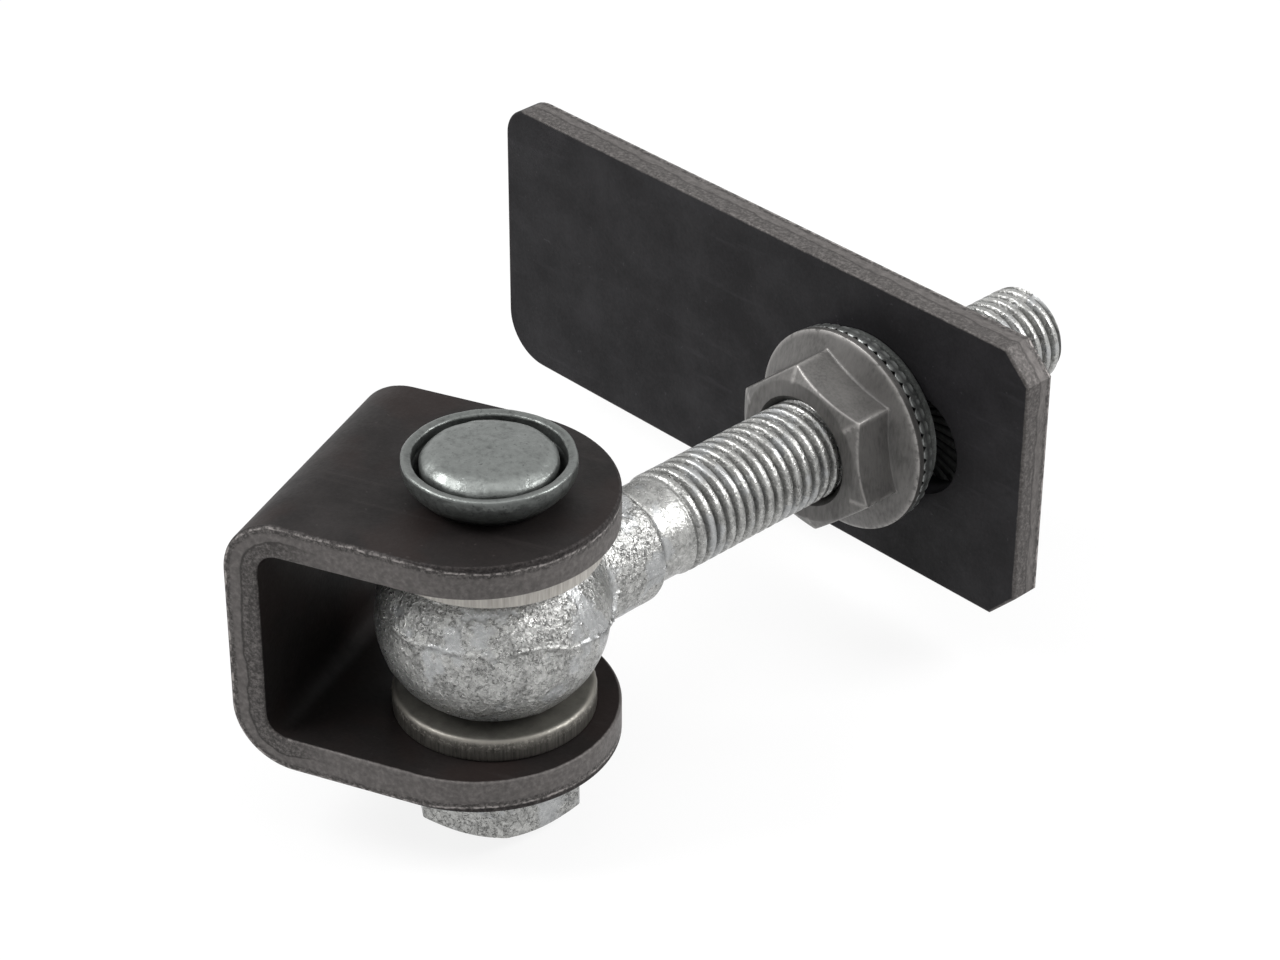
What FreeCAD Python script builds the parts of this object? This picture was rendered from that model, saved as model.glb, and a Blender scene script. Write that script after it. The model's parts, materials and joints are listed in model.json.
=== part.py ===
"""Adjustable weld-on gate hinge: a folded bracket and pin carry a ball-ended eye bolt, and two
flange nuts hold a slotted weld plate on its thread. All sizes are in millimetres."""

import FreeCAD, Part
import math
import os

# Frame: X runs from the post out through the bracket, Z is up along the pin, and the origin is
# the centre of the bracket's welded face.

# Eye bolt and its thread
THREAD_D = 24.0
THREAD_PITCH = 3.0
THREAD_CREST = 1.2
THREAD_DEPTH = 1.35
THREAD_START = 47.5
SHANK_D = 22.6
ROD_END = 171.0
ROD_END_CHAMFER = 2.2
BALL_D = 50.0
BALL_HEIGHT = 35.0
BALL_SIDE_RADIUS = 20.0
BORE_LEAD_IN = 0.6
NECK_D = 27.0
NECK_END = 39.0
NECK_END_ROUND = 1.8
NECK_GROOVE = 0.3
NECK_ROOT_ROUND = 2.0
SWING_DEG = 67.5

# Pivot pin, its head and its nut
PIN_D = 22.0
PIN_PLAY = 0.08
PIN_END_PAST_NUT = 2.5
PIN_END_CHAMFER = 1.8
HEAD_D = 29.2
HEAD_CROWN = 1.5
HEAD_EDGE_ROUND = 2.4
HEAD_ABOVE_CUP = 0.2
PIVOT_NUT_HEIGHT = 16.2
PIVOT_NUT_ACROSS_FLATS = 34.0
PIVOT_NUT_TURN_DEG = 2.0

# Cup washer under the pin's head
CUP_D = 38.0
CUP_FOOT_D = 28.0
CUP_HEIGHT = 8.8
CUP_MOUTH_D = 32.4
CUP_MOUTH_DEPTH = 3.2
CUP_RIM_CHAMFER = 0.6
CUP_SIDE = 3.4

# Bracket folded from flat bar
BAR_WIDTH = 61.0
BAR_THICK = 8.0
BEND_OUTER = 14.0
BEND_INNER = 5.0
PIN_FROM_WEB = 47.0
EAR_LENGTH = 74.0
EAR_HOLE_PLAY = 0.3
BAR_EDGE_ROUND = 0.7

# Thrust washers above and below the ball
UPPER_WASHER_D = 48.0
UPPER_WASHER_THICK = 5.5
LOWER_WASHER_D = 44.0
LOWER_WASHER_THICK = 5.5
WASHER_HOLE_PLAY = 0.5
WASHER_EDGE_CHAMFER = 0.6

# Flange nuts
HEX_ACROSS_FLATS = 36.0
HEX_CHAMFER_DEG = 30.0
FLANGE_NUT_HEIGHT = 15.4
FLANGE_D = 49.0
FLANGE_RIM = 2.1
FLANGE_DEG = 22.0
NUT_PLAY = 0.05
NUT_MOUTH_CHAMFER = 1.4
FRONT_NUT_TURN_DEG = 10.0
REAR_NUT_TURN_DEG = 30.0

# Toothed lock washers and the plain washer that bridges the slot
LOCK_WASHER_D = 48.4
LOCK_WASHER_THICK = 2.6
LOCK_TOOTH_COUNT = 48
LOCK_TOOTH_DEPTH = 0.7
LOCK_LAND_SHARE = 0.4
PLAIN_WASHER_D = 44.0
PLAIN_WASHER_THICK = 4.0
PLAIN_WASHER_CHAMFER = 0.4

# Slotted weld plate
PLATE_LENGTH = 170.0
PLATE_WIDTH = 70.0
PLATE_THICK = 8.0
PLATE_FRONT = 115.0
PLATE_END_FROM_ROD = 47.0
PLATE_CHAMFER = 7.0
PLATE_TOP_CORNER = 8.0
PLATE_BOTTOM_CORNER = 12.0
PLATE_EDGE_ROUND = 0.7
SLOT_WIDTH = 26.0
SLOT_LENGTH = 56.0

# Places that follow from the sizes above
GAP = LOWER_WASHER_THICK + BALL_HEIGHT + UPPER_WASHER_THICK
EAR_TOP = GAP / 2 + BAR_THICK
BALL_BOTTOM = -GAP / 2 + LOWER_WASHER_THICK
BALL_TOP = BALL_BOTTOM + BALL_HEIGHT
ROD_Z = (BALL_BOTTOM + BALL_TOP) / 2
END_ROUND = BAR_WIDTH / 2
FRONT_WASHER_FACE = PLATE_FRONT - PLAIN_WASHER_THICK
FRONT_LOCK_FACE = FRONT_WASHER_FACE - LOCK_WASHER_THICK
FRONT_NUT_FACE = FRONT_LOCK_FACE - FLANGE_NUT_HEIGHT
PLATE_BACK = PLATE_FRONT + PLATE_THICK
REAR_LOCK_BACK = PLATE_BACK + LOCK_WASHER_THICK
REAR_NUT_BACK = REAR_LOCK_BACK + FLANGE_NUT_HEIGHT

ORIGIN = FreeCAD.Vector(0, 0, 0)
UP = FreeCAD.Vector(0, 0, 1)
EPS = 0.5


def vec(x, y, z=0.0):
    return FreeCAD.Vector(x, y, z)


def turned(points, arcs=()):
    """A solid of revolution about Z from a profile of (radius, height) points.

    arcs maps the index of a span to the point that its arc passes through."""
    through = dict(arcs)
    edges = []
    for i, start in enumerate(points):
        end = points[(i + 1) % len(points)]
        a = vec(start[0], 0, start[1])
        b = vec(end[0], 0, end[1])
        if i in through:
            mid = through[i]
            edges.append(Part.Arc(a, vec(mid[0], 0, mid[1]), b).toShape())
        else:
            edges.append(Part.LineSegment(a, b).toShape())
    face = Part.Face(Part.Wire(edges))
    return face.revolve(ORIGIN, UP, 360)


def washer(outer_d, hole_r, thick, edge_chamfer):
    """A flat ring with chamfered outer edges, its lower face at height 0."""
    r = outer_d / 2
    return turned([
        (hole_r, 0),
        (r - edge_chamfer, 0),
        (r, edge_chamfer),
        (r, thick - edge_chamfer),
        (r - edge_chamfer, thick),
        (hole_r, thick),
    ])


def hexagon(across_flats, height, turn_deg):
    """A hexagonal prism on the XY plane."""
    r = across_flats / 2 / math.cos(math.pi / 6)
    corners = []
    for k in range(6):
        angle = math.radians(60 * k + turn_deg)
        corners.append(vec(r * math.cos(angle), r * math.sin(angle)))
    wire = Part.makePolygon(corners + [corners[0]])
    return Part.Face(wire).extrude(vec(0, 0, height))


def chamfer_drop(across_flats):
    """How far the turned chamfer has come down where it meets a corner of the hexagon."""
    corner = across_flats / 2 / math.cos(math.pi / 6)
    return (corner - across_flats * 0.475) * math.tan(math.radians(HEX_CHAMFER_DEG))


def u_bracket():
    """Flat bar folded twice into a U, with half-round ear ends and the pin's holes."""
    top = EAR_TOP
    inner = GAP / 2
    x0 = BAR_THICK
    far = EAR_LENGTH
    lean = math.sqrt(0.5)

    def bend(cx, cz, radius, x_sign, z_sign):
        return vec(cx + x_sign * radius * lean, 0, cz + z_sign * radius * lean)

    outer_c = BEND_OUTER
    inner_c = x0 + BEND_INNER
    edges = [
        Part.LineSegment(vec(far, 0, top), vec(outer_c, 0, top)),
        Part.Arc(vec(outer_c, 0, top), bend(outer_c, top - outer_c, outer_c, -1, 1),
                 vec(0, 0, top - outer_c)),
        Part.LineSegment(vec(0, 0, top - outer_c), vec(0, 0, outer_c - top)),
        Part.Arc(vec(0, 0, outer_c - top), bend(outer_c, outer_c - top, outer_c, -1, -1),
                 vec(outer_c, 0, -top)),
        Part.LineSegment(vec(outer_c, 0, -top), vec(far, 0, -top)),
        Part.LineSegment(vec(far, 0, -top), vec(far, 0, -inner)),
        Part.LineSegment(vec(far, 0, -inner), vec(inner_c, 0, -inner)),
        Part.Arc(vec(inner_c, 0, -inner),
                 bend(inner_c, BEND_INNER - inner, BEND_INNER, -1, -1),
                 vec(x0, 0, BEND_INNER - inner)),
        Part.LineSegment(vec(x0, 0, BEND_INNER - inner), vec(x0, 0, inner - BEND_INNER)),
        Part.Arc(vec(x0, 0, inner - BEND_INNER),
                 bend(inner_c, inner - BEND_INNER, BEND_INNER, -1, 1),
                 vec(inner_c, 0, inner)),
        Part.LineSegment(vec(inner_c, 0, inner), vec(far, 0, inner)),
        Part.LineSegment(vec(far, 0, inner), vec(far, 0, top)),
    ]
    section = Part.Face(Part.Wire([e.toShape() for e in edges]))
    section.translate(vec(0, -BAR_WIDTH / 2))
    folded = section.extrude(vec(0, BAR_WIDTH))

    # The ears' plan outline: straight sides and a half-round end
    straight = EAR_LENGTH - END_ROUND
    half = BAR_WIDTH / 2
    plan = Part.Wire([
        Part.LineSegment(vec(-EPS, -half), vec(straight, -half)).toShape(),
        Part.Arc(vec(straight, -half), vec(EAR_LENGTH, 0), vec(straight, half)).toShape(),
        Part.LineSegment(vec(straight, half), vec(-EPS, half)).toShape(),
        Part.LineSegment(vec(-EPS, half), vec(-EPS, -half)).toShape(),
    ])
    plan.translate(vec(0, 0, -top - EPS))
    outline = Part.Face(plan).extrude(vec(0, 0, 2 * (top + EPS)))
    body = folded.common(outline)

    def is_rim(edge):
        """Edges of the bar's cut sides: both ends of each lie on a side or on the round end."""
        for t in (0.0, 0.5, 1.0):
            first, last = edge.ParameterRange
            p = edge.valueAt(first + (last - first) * t)
            on_side = abs(abs(p.y) - half) < 1e-4
            on_end = p.x > straight and abs(math.hypot(p.x - straight, p.y) - END_ROUND) < 1e-3
            if not (on_side or on_end):
                return False
        return True

    def across(edge):
        """Short edges that run through the bar's thickness stay sharp."""
        a = edge.Vertexes[0].Point
        b = edge.Vertexes[-1].Point
        level = abs(a.x - b.x) < 1e-6 and abs(a.y - b.y) < 1e-6
        return level and abs(abs(a.z - b.z) - BAR_THICK) < 1e-6 and abs(a.x - straight) < 1e-4

    rim = [e for e in body.Edges if is_rim(e) and not across(e)]
    body = body.makeFillet(BAR_EDGE_ROUND, rim)
    hole = Part.makeCylinder(PIN_D / 2 + EAR_HOLE_PLAY, 2 * (top + EPS),
                             vec(PIN_FROM_WEB, 0, -top - EPS))
    return body.cut(hole)


def meets(edge, neck_r, ball_r):
    """Whether an edge is the seam where the neck leaves the eye."""
    first, last = edge.ParameterRange
    for t in (0.1, 0.35, 0.6, 0.85):
        p = edge.valueAt(first + (last - first) * t)
        if abs(math.hypot(p.y, p.z) - neck_r) > 1e-3 or p.x > ball_r or p.x < 1:
            return False
    return True


def eye_bolt():
    """One forging: a barrel-shaped eye with faced ends, a thicker neck and a threaded rod.

    Made with the eye's bore on the Z axis and the rod along X."""
    half = BALL_HEIGHT / 2
    ball_r = BALL_D / 2
    side_r = BALL_SIDE_RADIUS
    flat_r = ball_r - side_r + math.sqrt(side_r ** 2 - half ** 2)
    bore_r = PIN_D / 2 + PIN_PLAY
    eye = turned([(0, -half), (flat_r, -half), (flat_r, half), (0, half)], {1: (ball_r, 0)})

    neck_r = NECK_D / 2
    rod_r = THREAD_D / 2
    plain_r = SHANK_D / 2
    shoulder = NECK_END - NECK_END_ROUND
    diagonal = NECK_END_ROUND * math.sqrt(0.5)
    shoulder_mid = (neck_r - NECK_END_ROUND + diagonal, shoulder + diagonal)
    groove_r = plain_r - NECK_GROOVE
    groove_end = NECK_END + 2 * NECK_GROOVE
    run_in = rod_r - plain_r
    # The thread is turned as rings at its pitch, each a V-shaped groove behind a flat crest
    groove = THREAD_PITCH - THREAD_CREST
    first = THREAD_START + run_in + THREAD_CREST
    last = ROD_END - ROD_END_CHAMFER
    rings = []
    for k in range(int((last - first) / THREAD_PITCH)):
        start = first + k * THREAD_PITCH
        rings += [
            (rod_r, start),
            (rod_r - THREAD_DEPTH, start + groove / 2),
            (rod_r, start + groove),
        ]
    rod = turned([
        (0, 0),
        (neck_r, 0),
        (neck_r, shoulder),
        (neck_r - NECK_END_ROUND, NECK_END),
        (groove_r, NECK_END),
        (plain_r, groove_end),
        (plain_r, THREAD_START),
        (rod_r, THREAD_START + run_in),
        *rings,
        (rod_r, last),
        (rod_r - ROD_END_CHAMFER, ROD_END),
        (0, ROD_END),
    ], {2: shoulder_mid})
    rod.rotate(ORIGIN, vec(0, 1), 90)
    body = eye.fuse(rod)
    root = [e for e in body.Edges if meets(e, neck_r, ball_r)]
    body = body.makeFillet(NECK_ROOT_ROUND, root)
    # The bore has a small lead-in at both faces
    lead = BORE_LEAD_IN
    bore = turned([
        (0, -half - EPS),
        (bore_r + lead + EPS, -half - EPS),
        (bore_r, lead - half),
        (bore_r, half - lead),
        (bore_r + lead + EPS, half + EPS),
        (0, half + EPS),
    ])
    return body.cut(bore)


def pivot_pin():
    """Shank with a domed round head that seats on a cone in the cup washer."""
    r = PIN_D / 2
    head_r = HEAD_D / 2
    edge = EAR_TOP + CUP_HEIGHT + HEAD_ABOVE_CUP
    crown = edge + HEAD_CROWN
    seat_top = EAR_TOP + CUP_HEIGHT - CUP_MOUTH_DEPTH - (CUP_MOUTH_D - HEAD_D) / 2
    seat_bottom = seat_top - (head_r - r)
    end = -EAR_TOP - PIVOT_NUT_HEIGHT - PIN_END_PAST_NUT
    dome_r = (head_r ** 2 + HEAD_CROWN ** 2) / (2 * HEAD_CROWN)
    half_way = head_r / 2
    dome_mid = (half_way, crown - dome_r + math.sqrt(dome_r ** 2 - half_way ** 2))
    points = [
        (0, end),
        (r - PIN_END_CHAMFER, end),
        (r, end + PIN_END_CHAMFER),
        (r, seat_bottom),
        (head_r, seat_top),
        (head_r, edge),
        (0, crown),
    ]
    body = turned(points, {5: dome_mid})
    rim = [e for e in body.Edges
           if len(e.Vertexes) == 1 and abs(e.Vertexes[0].Point.z - edge) < 1e-6]
    return body.makeFillet(HEAD_EDGE_ROUND, rim)


def head_cup_washer():
    """Bowl-shaped ring round the pin's head, with a conical seat inside."""
    base = EAR_TOP
    r = CUP_D / 2
    foot_r = CUP_FOOT_D / 2
    hole_r = PIN_D / 2 + EAR_HOLE_PLAY
    mouth_r = CUP_MOUTH_D / 2
    top = base + CUP_HEIGHT
    seat_top = top - CUP_MOUTH_DEPTH
    seat_bottom = seat_top - (mouth_r - hole_r)
    side = top - CUP_SIDE
    # The outer wall bulges from the foot up to the straight side
    lean = math.sqrt(0.5)
    bulge = (foot_r + (r - foot_r) * lean, side - (side - base) * lean)
    points = [
        (hole_r, base),
        (foot_r, base),
        (r, side),
        (r, top - CUP_RIM_CHAMFER),
        (r - CUP_RIM_CHAMFER, top),
        (mouth_r, top),
        (mouth_r, seat_top),
        (hole_r, seat_bottom),
    ]
    return turned(points, {1: bulge})


def pivot_nut():
    """Plain hexagon nut under the lower ear, chamfered on both sides."""
    height = PIVOT_NUT_HEIGHT
    prism = hexagon(PIVOT_NUT_ACROSS_FLATS, height, PIVOT_NUT_TURN_DEG)
    hole_r = PIN_D / 2 + NUT_PLAY
    corner = PIVOT_NUT_ACROSS_FLATS / 2 / math.cos(math.pi / 6)
    face_r = PIVOT_NUT_ACROSS_FLATS * 0.475
    drop = chamfer_drop(PIVOT_NUT_ACROSS_FLATS)
    mouth = hole_r + NUT_MOUTH_CHAMFER
    blank = turned([
        (mouth, 0),
        (face_r, 0),
        (corner, drop),
        (corner + EPS, drop),
        (corner + EPS, height - drop),
        (corner, height - drop),
        (face_r, height),
        (mouth, height),
        (hole_r, height - NUT_MOUTH_CHAMFER),
        (hole_r, NUT_MOUTH_CHAMFER),
    ])
    body = prism.common(blank)
    body.translate(vec(0, 0, -EAR_TOP - height))
    return body


def flange_nut(turn_deg):
    """Hexagon nut with a conical flange, its bearing face at height 0 and the hexagon above."""
    height = FLANGE_NUT_HEIGHT
    hole_r = THREAD_D / 2 + NUT_PLAY
    flange_r = FLANGE_D / 2
    corner = HEX_ACROSS_FLATS / 2 / math.cos(math.pi / 6)
    face_r = HEX_ACROSS_FLATS * 0.475
    drop = chamfer_drop(HEX_ACROSS_FLATS)
    slope = math.tan(math.radians(FLANGE_DEG))
    mouth = hole_r + NUT_MOUTH_CHAMFER
    prism = hexagon(HEX_ACROSS_FLATS, height, turn_deg)
    blank = turned([
        (hole_r - EPS, 0),
        (corner + EPS, 0),
        (corner + EPS, height - drop),
        (corner, height - drop),
        (face_r, height),
        (hole_r - EPS, height),
    ])
    cone_top_r = HEX_ACROSS_FLATS / 2 - EPS
    cone_top = FLANGE_RIM + (flange_r - cone_top_r) * slope
    edge = FLANGE_RIM / 4
    flange = turned([
        (hole_r - EPS, 0),
        (flange_r - edge, 0),
        (flange_r, edge),
        (flange_r, FLANGE_RIM - edge),
        (flange_r - edge, FLANGE_RIM + edge * slope),
        (cone_top_r, cone_top),
        (hole_r - EPS, cone_top),
    ])
    hole = turned([
        (0, -EPS),
        (mouth + EPS, -EPS),
        (hole_r, NUT_MOUTH_CHAMFER),
        (hole_r, height - NUT_MOUTH_CHAMFER),
        (mouth + EPS, height + EPS),
        (0, height + EPS),
    ])
    return prism.common(blank).fuse(flange).removeSplitter().cut(hole)


def lock_washer():
    """Ring with radial teeth on both faces, its lower face at height 0.

    Every tooth's edges point at the middle of its face, so the grooves deepen outwards."""
    r = LOCK_WASHER_D / 2
    hole_r = THREAD_D / 2 + WASHER_HOLE_PLAY
    thick = LOCK_WASHER_THICK
    reach = 1.25
    wide = r * reach
    step = 2 * math.pi / LOCK_TOOTH_COUNT
    land = step * LOCK_LAND_SHARE / 2
    top = []
    bottom = []
    for k in range(LOCK_TOOTH_COUNT):
        for angle, drop in ((-land, 0), (land, 0), (step / 2, LOCK_TOOTH_DEPTH * reach)):
            x = wide * math.cos(k * step + angle)
            y = wide * math.sin(k * step + angle)
            top.append(vec(x, y, thick - drop))
            bottom.append(vec(x, y, drop))
    apex = vec(0, 0, thick)
    faces = []
    for i in range(len(top)):
        j = (i + 1) % len(top)
        faces.append(Part.Face(Part.makePolygon([apex, top[i], top[j], apex])))
        faces.append(Part.Face(Part.makePolygon([ORIGIN, bottom[j], bottom[i], ORIGIN])))
        faces.append(Part.Face(Part.makePolygon(
            [top[i], bottom[i], bottom[j], top[j], top[i]])))
    toothed = Part.makeSolid(Part.makeShell(faces))
    ring = turned([(hole_r, -EPS), (r, -EPS), (r, thick + EPS), (hole_r, thick + EPS)])
    return ring.common(toothed)


def weld_plate():
    """Flat bar with a slot for the rod, cut corners at the slot's end, and round far corners.

    Made with its front face on the YZ plane, the rod's axis at the origin and +Y towards
    the plain end that is welded to the gate."""
    near = -PLATE_END_FROM_ROD
    far = PLATE_LENGTH - PLATE_END_FROM_ROD
    top = PLATE_WIDTH / 2
    cut = PLATE_CHAMFER
    lean = math.sqrt(0.5)

    def at(y, z):
        return vec(0, y, z)

    def corner(y, z, radius, z_sign):
        centre = at(y - radius, z - z_sign * radius)
        return centre + at(radius * lean, z_sign * radius * lean)

    top_r = PLATE_TOP_CORNER
    bottom_r = PLATE_BOTTOM_CORNER
    edges = [
        Part.LineSegment(at(near, cut - top), at(near, top - cut)),
        Part.LineSegment(at(near, top - cut), at(near + cut, top)),
        Part.LineSegment(at(near + cut, top), at(far - top_r, top)),
        Part.Arc(at(far - top_r, top), corner(far, top, top_r, 1), at(far, top - top_r)),
        Part.LineSegment(at(far, top - top_r), at(far, bottom_r - top)),
        Part.Arc(at(far, bottom_r - top), corner(far, -top, bottom_r, -1),
                 at(far - bottom_r, -top)),
        Part.LineSegment(at(far - bottom_r, -top), at(near + cut, -top)),
        Part.LineSegment(at(near + cut, -top), at(near, cut - top)),
    ]
    outline = Part.Wire([e.toShape() for e in edges])
    body = Part.Face(outline).extrude(vec(PLATE_THICK, 0))
    rim = []
    for edge in body.Edges:
        middle = edge.valueAt(sum(edge.ParameterRange) / 2)
        if min(abs(middle.x), abs(middle.x - PLATE_THICK)) < 1e-6:
            rim.append(edge)
    body = body.makeFillet(PLATE_EDGE_ROUND, rim)
    slot_r = SLOT_WIDTH / 2
    reach = SLOT_LENGTH / 2 - slot_r
    slot_edges = [
        Part.LineSegment(at(-reach, slot_r), at(reach, slot_r)),
        Part.Arc(at(reach, slot_r), at(reach + slot_r, 0), at(reach, -slot_r)),
        Part.LineSegment(at(reach, -slot_r), at(-reach, -slot_r)),
        Part.Arc(at(-reach, -slot_r), at(-reach - slot_r, 0), at(-reach, slot_r)),
    ]
    slot = Part.Face(Part.Wire([e.toShape() for e in slot_edges]))
    slot.translate(vec(-EPS, 0))
    return body.cut(slot.extrude(vec(PLATE_THICK + 2 * EPS, 0)))


def on_pin(shape, height=0.0):
    """Moves a piece made about Z to the pin's axis."""
    shape.translate(vec(PIN_FROM_WEB, 0, height))
    return shape


def on_rod(shape, distance=0.0):
    """Moves a piece made along X from the pin's axis to its place on the swung rod."""
    shape.translate(vec(distance, 0, 0))
    shape.rotate(ORIGIN, UP, SWING_DEG)
    shape.translate(vec(PIN_FROM_WEB, 0, ROD_Z))
    return shape


def laid(shape, towards_pin=False):
    """Lays a piece made about Z along X, its top facing the tip or, turned over, the pin."""
    shape.rotate(ORIGIN, vec(0, 1), -90 if towards_pin else 90)
    return shape


def build():
    """Every piece of the hinge in its place, by node name."""
    ring_r = PIN_D / 2 + WASHER_HOLE_PLAY
    rod_ring_r = THREAD_D / 2 + WASHER_HOLE_PLAY
    upper = washer(UPPER_WASHER_D, ring_r, UPPER_WASHER_THICK, WASHER_EDGE_CHAMFER)
    lower = washer(LOWER_WASHER_D, ring_r, LOWER_WASHER_THICK, WASHER_EDGE_CHAMFER)
    plain = washer(PLAIN_WASHER_D, rod_ring_r, PLAIN_WASHER_THICK, PLAIN_WASHER_CHAMFER)
    return {
        "u_bracket": u_bracket(),
        "pivot_pin": on_pin(pivot_pin()),
        "head_cup_washer": on_pin(head_cup_washer()),
        "pivot_nut": on_pin(pivot_nut()),
        "upper_washer": on_pin(upper, BALL_TOP),
        "lower_washer": on_pin(lower, -GAP / 2),
        "eye_bolt": on_rod(eye_bolt()),
        "front_flange_nut": on_rod(laid(flange_nut(FRONT_NUT_TURN_DEG), True),
                                   FRONT_LOCK_FACE),
        "front_lock_washer": on_rod(laid(lock_washer()), FRONT_LOCK_FACE),
        "slot_washer": on_rod(laid(plain), FRONT_WASHER_FACE),
        "weld_plate": on_rod(weld_plate(), PLATE_FRONT),
        "rear_lock_washer": on_rod(laid(lock_washer()), PLATE_BACK),
        "rear_flange_nut": on_rod(laid(flange_nut(REAR_NUT_TURN_DEG)), REAR_LOCK_BACK),
    }


os.makedirs("parts", exist_ok=True)
for node, shape in build().items():
    shape.exportStep("parts/" + node + ".step")
    box = shape.BoundBox
    print(node, "valid" if shape.isValid() else "NOT VALID", len(shape.Solids), "solid",
          "volume", round(shape.Volume), "X", round(box.XMin, 1), round(box.XMax, 1),
          "Y", round(box.YMin, 1), round(box.YMax, 1), "Z", round(box.ZMin, 1),
          round(box.ZMax, 1))
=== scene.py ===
import json
import math

import bmesh
import bpy
import numpy as np
from mathutils import Matrix, Vector


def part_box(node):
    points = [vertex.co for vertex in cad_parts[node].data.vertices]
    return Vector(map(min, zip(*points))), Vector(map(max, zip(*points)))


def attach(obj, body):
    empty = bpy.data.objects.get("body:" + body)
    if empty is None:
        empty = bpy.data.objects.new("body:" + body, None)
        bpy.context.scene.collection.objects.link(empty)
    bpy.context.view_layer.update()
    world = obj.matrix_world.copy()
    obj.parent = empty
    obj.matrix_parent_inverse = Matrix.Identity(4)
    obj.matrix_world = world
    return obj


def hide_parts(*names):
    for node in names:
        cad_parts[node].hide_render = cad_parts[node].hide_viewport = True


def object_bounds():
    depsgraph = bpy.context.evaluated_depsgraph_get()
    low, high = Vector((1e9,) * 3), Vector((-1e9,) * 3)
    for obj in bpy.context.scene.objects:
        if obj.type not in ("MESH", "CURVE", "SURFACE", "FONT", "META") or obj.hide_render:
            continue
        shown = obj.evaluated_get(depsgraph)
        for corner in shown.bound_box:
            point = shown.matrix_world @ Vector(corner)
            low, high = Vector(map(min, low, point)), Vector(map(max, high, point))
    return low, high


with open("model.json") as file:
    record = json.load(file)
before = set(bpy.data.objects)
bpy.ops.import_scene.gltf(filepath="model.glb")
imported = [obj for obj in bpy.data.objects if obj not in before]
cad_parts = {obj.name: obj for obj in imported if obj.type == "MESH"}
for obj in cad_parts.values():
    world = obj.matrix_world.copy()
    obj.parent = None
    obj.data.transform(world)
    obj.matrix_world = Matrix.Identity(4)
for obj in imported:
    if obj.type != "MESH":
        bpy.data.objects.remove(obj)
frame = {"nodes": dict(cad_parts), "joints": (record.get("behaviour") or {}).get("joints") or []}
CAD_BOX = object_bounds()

bl_info = {
    "name": "Adjustable gate hinge",
    "version": (1, 0, 0),
    "blender": (4, 5, 0),
    "location": "View3D > Sidebar > Gate hinge",
    "description": "Builds the surfaces, steel finishes and stage of an adjustable gate hinge",
    "category": "Object",
}

JOINTS = {joint["name"]: joint for joint in frame["joints"]}
UP = np.array([0.0, 0.0, 1.0])
PIN = np.array(JOINTS["gate_swing"]["pos_m"])
ROD = np.array(JOINTS["reach_adjust"]["axis"])
SIDE = np.cross(ROD, UP)
BALL = np.array([PIN[0], PIN[1], JOINTS["front_nut_turn"]["pos_m"][2]])

# Sizes that more than one piece takes, in metres, and the columns of a turned ring
PIN_R = 0.011
NECK_END = 0.039
ROD_WASHER_BORE_R = 0.0125
RING_COLUMNS = 200

# The camera, measured from edges in a picture 1280 pixels wide: angles from the rod and from
# level, metres from the ball, and a focal length in pixels for a sensor in millimetres
CAMERA_TURN, CAMERA_TIP, CAMERA_ROLL = (math.radians(angle) for angle in (-46.145, 32.75, 0.22))
CAMERA_AWAY, CAMERA_RIGHT, CAMERA_ABOVE = 0.7679, -0.03110, -0.02805
FOCAL_PIXELS, PICTURE_WIDTH = 3632.7, 1280
SENSOR_WIDTH = 36.0

# The world's strength as a light, how much of the floor is seen as plain white, and the
# floor's half side and its gap under the solids, in metres
WORLD_LIGHT = 0.36
FLOOR_WHITE = 0.86
FLOOR_REACH, FLOOR_GAP = 1.4, 0.0004

# Each place is an origin and three axes: the last one is the axis that pieces are turned about
PIN_PLACE = (np.array([PIN[0], PIN[1], 0.0]), np.array([[1.0, 0, 0], [0, 1.0, 0], [0, 0, 1.0]]))
ROD_PLACE = (BALL, np.array([UP, SIDE, ROD]))
BALL_PLACE = (BALL, np.array([ROD, SIDE, UP]))


def corners_in(node, place):
    """A solid's corners, in the coordinates of a place."""
    mesh = frame["nodes"][node].data
    points = np.empty(len(mesh.vertices) * 3, np.float32)
    mesh.vertices.foreach_get("co", points)
    return (points.reshape(-1, 3) - place[0]) @ place[1].T


def span(node, place):
    """Lowest and highest coordinates of a solid's corners along a place's three axes."""
    local = corners_in(node, place)
    return local.min(0), local.max(0)


def outer_radius(node, place):
    """Largest distance of a solid's corners from a place's third axis."""
    local = corners_in(node, place)
    return float(np.hypot(local[:, 0], local[:, 1]).max())


def put_in_place(local, place):
    """Turns local coordinates, in metres, into the frame's coordinates."""
    return place[0] + local @ place[1]


def around(radius, height, angle):
    """Points at a radius, a height and an angle about an axis."""
    return np.stack([radius * np.cos(angle), radius * np.sin(angle), height], -1)


def waves(points, wavelength, seed, count=22):
    """A smooth random field from -1 to 1: the scaled sum of cosines in random directions."""
    rng = np.random.RandomState(seed)
    ways = rng.normal(size=(count, 3))
    ways /= np.linalg.norm(ways, axis=1)[:, None]
    rates = 2 * np.pi / (wavelength * rng.uniform(0.7, 1.5, count))
    starts = rng.uniform(0, 2 * np.pi, count)
    total = np.zeros(points.shape[:-1])
    for way, rate, start in zip(ways, rates, starts):
        total += np.cos(points @ (way * rate) + start)
    return total * (1.6 / count) ** 0.5 * 0.55


def smooth_min(a, b, width):
    """The smaller of a and b, with the crease between them rounded over a width."""
    near = np.maximum(width - np.abs(a - b), 0) / width
    return np.minimum(a, b) - near ** 2 * width / 4


def smooth_max(a, b, width):
    """The larger of a and b, with the crease between them rounded over a width."""
    return -smooth_min(-a, -b, width)


def smooth_step(x, low, high):
    """0 below low, 1 above high, and an even S-curve in between."""
    t = np.clip((x - low) / (high - low), 0, 1)
    return t * t * (3 - 2 * t)


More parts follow.
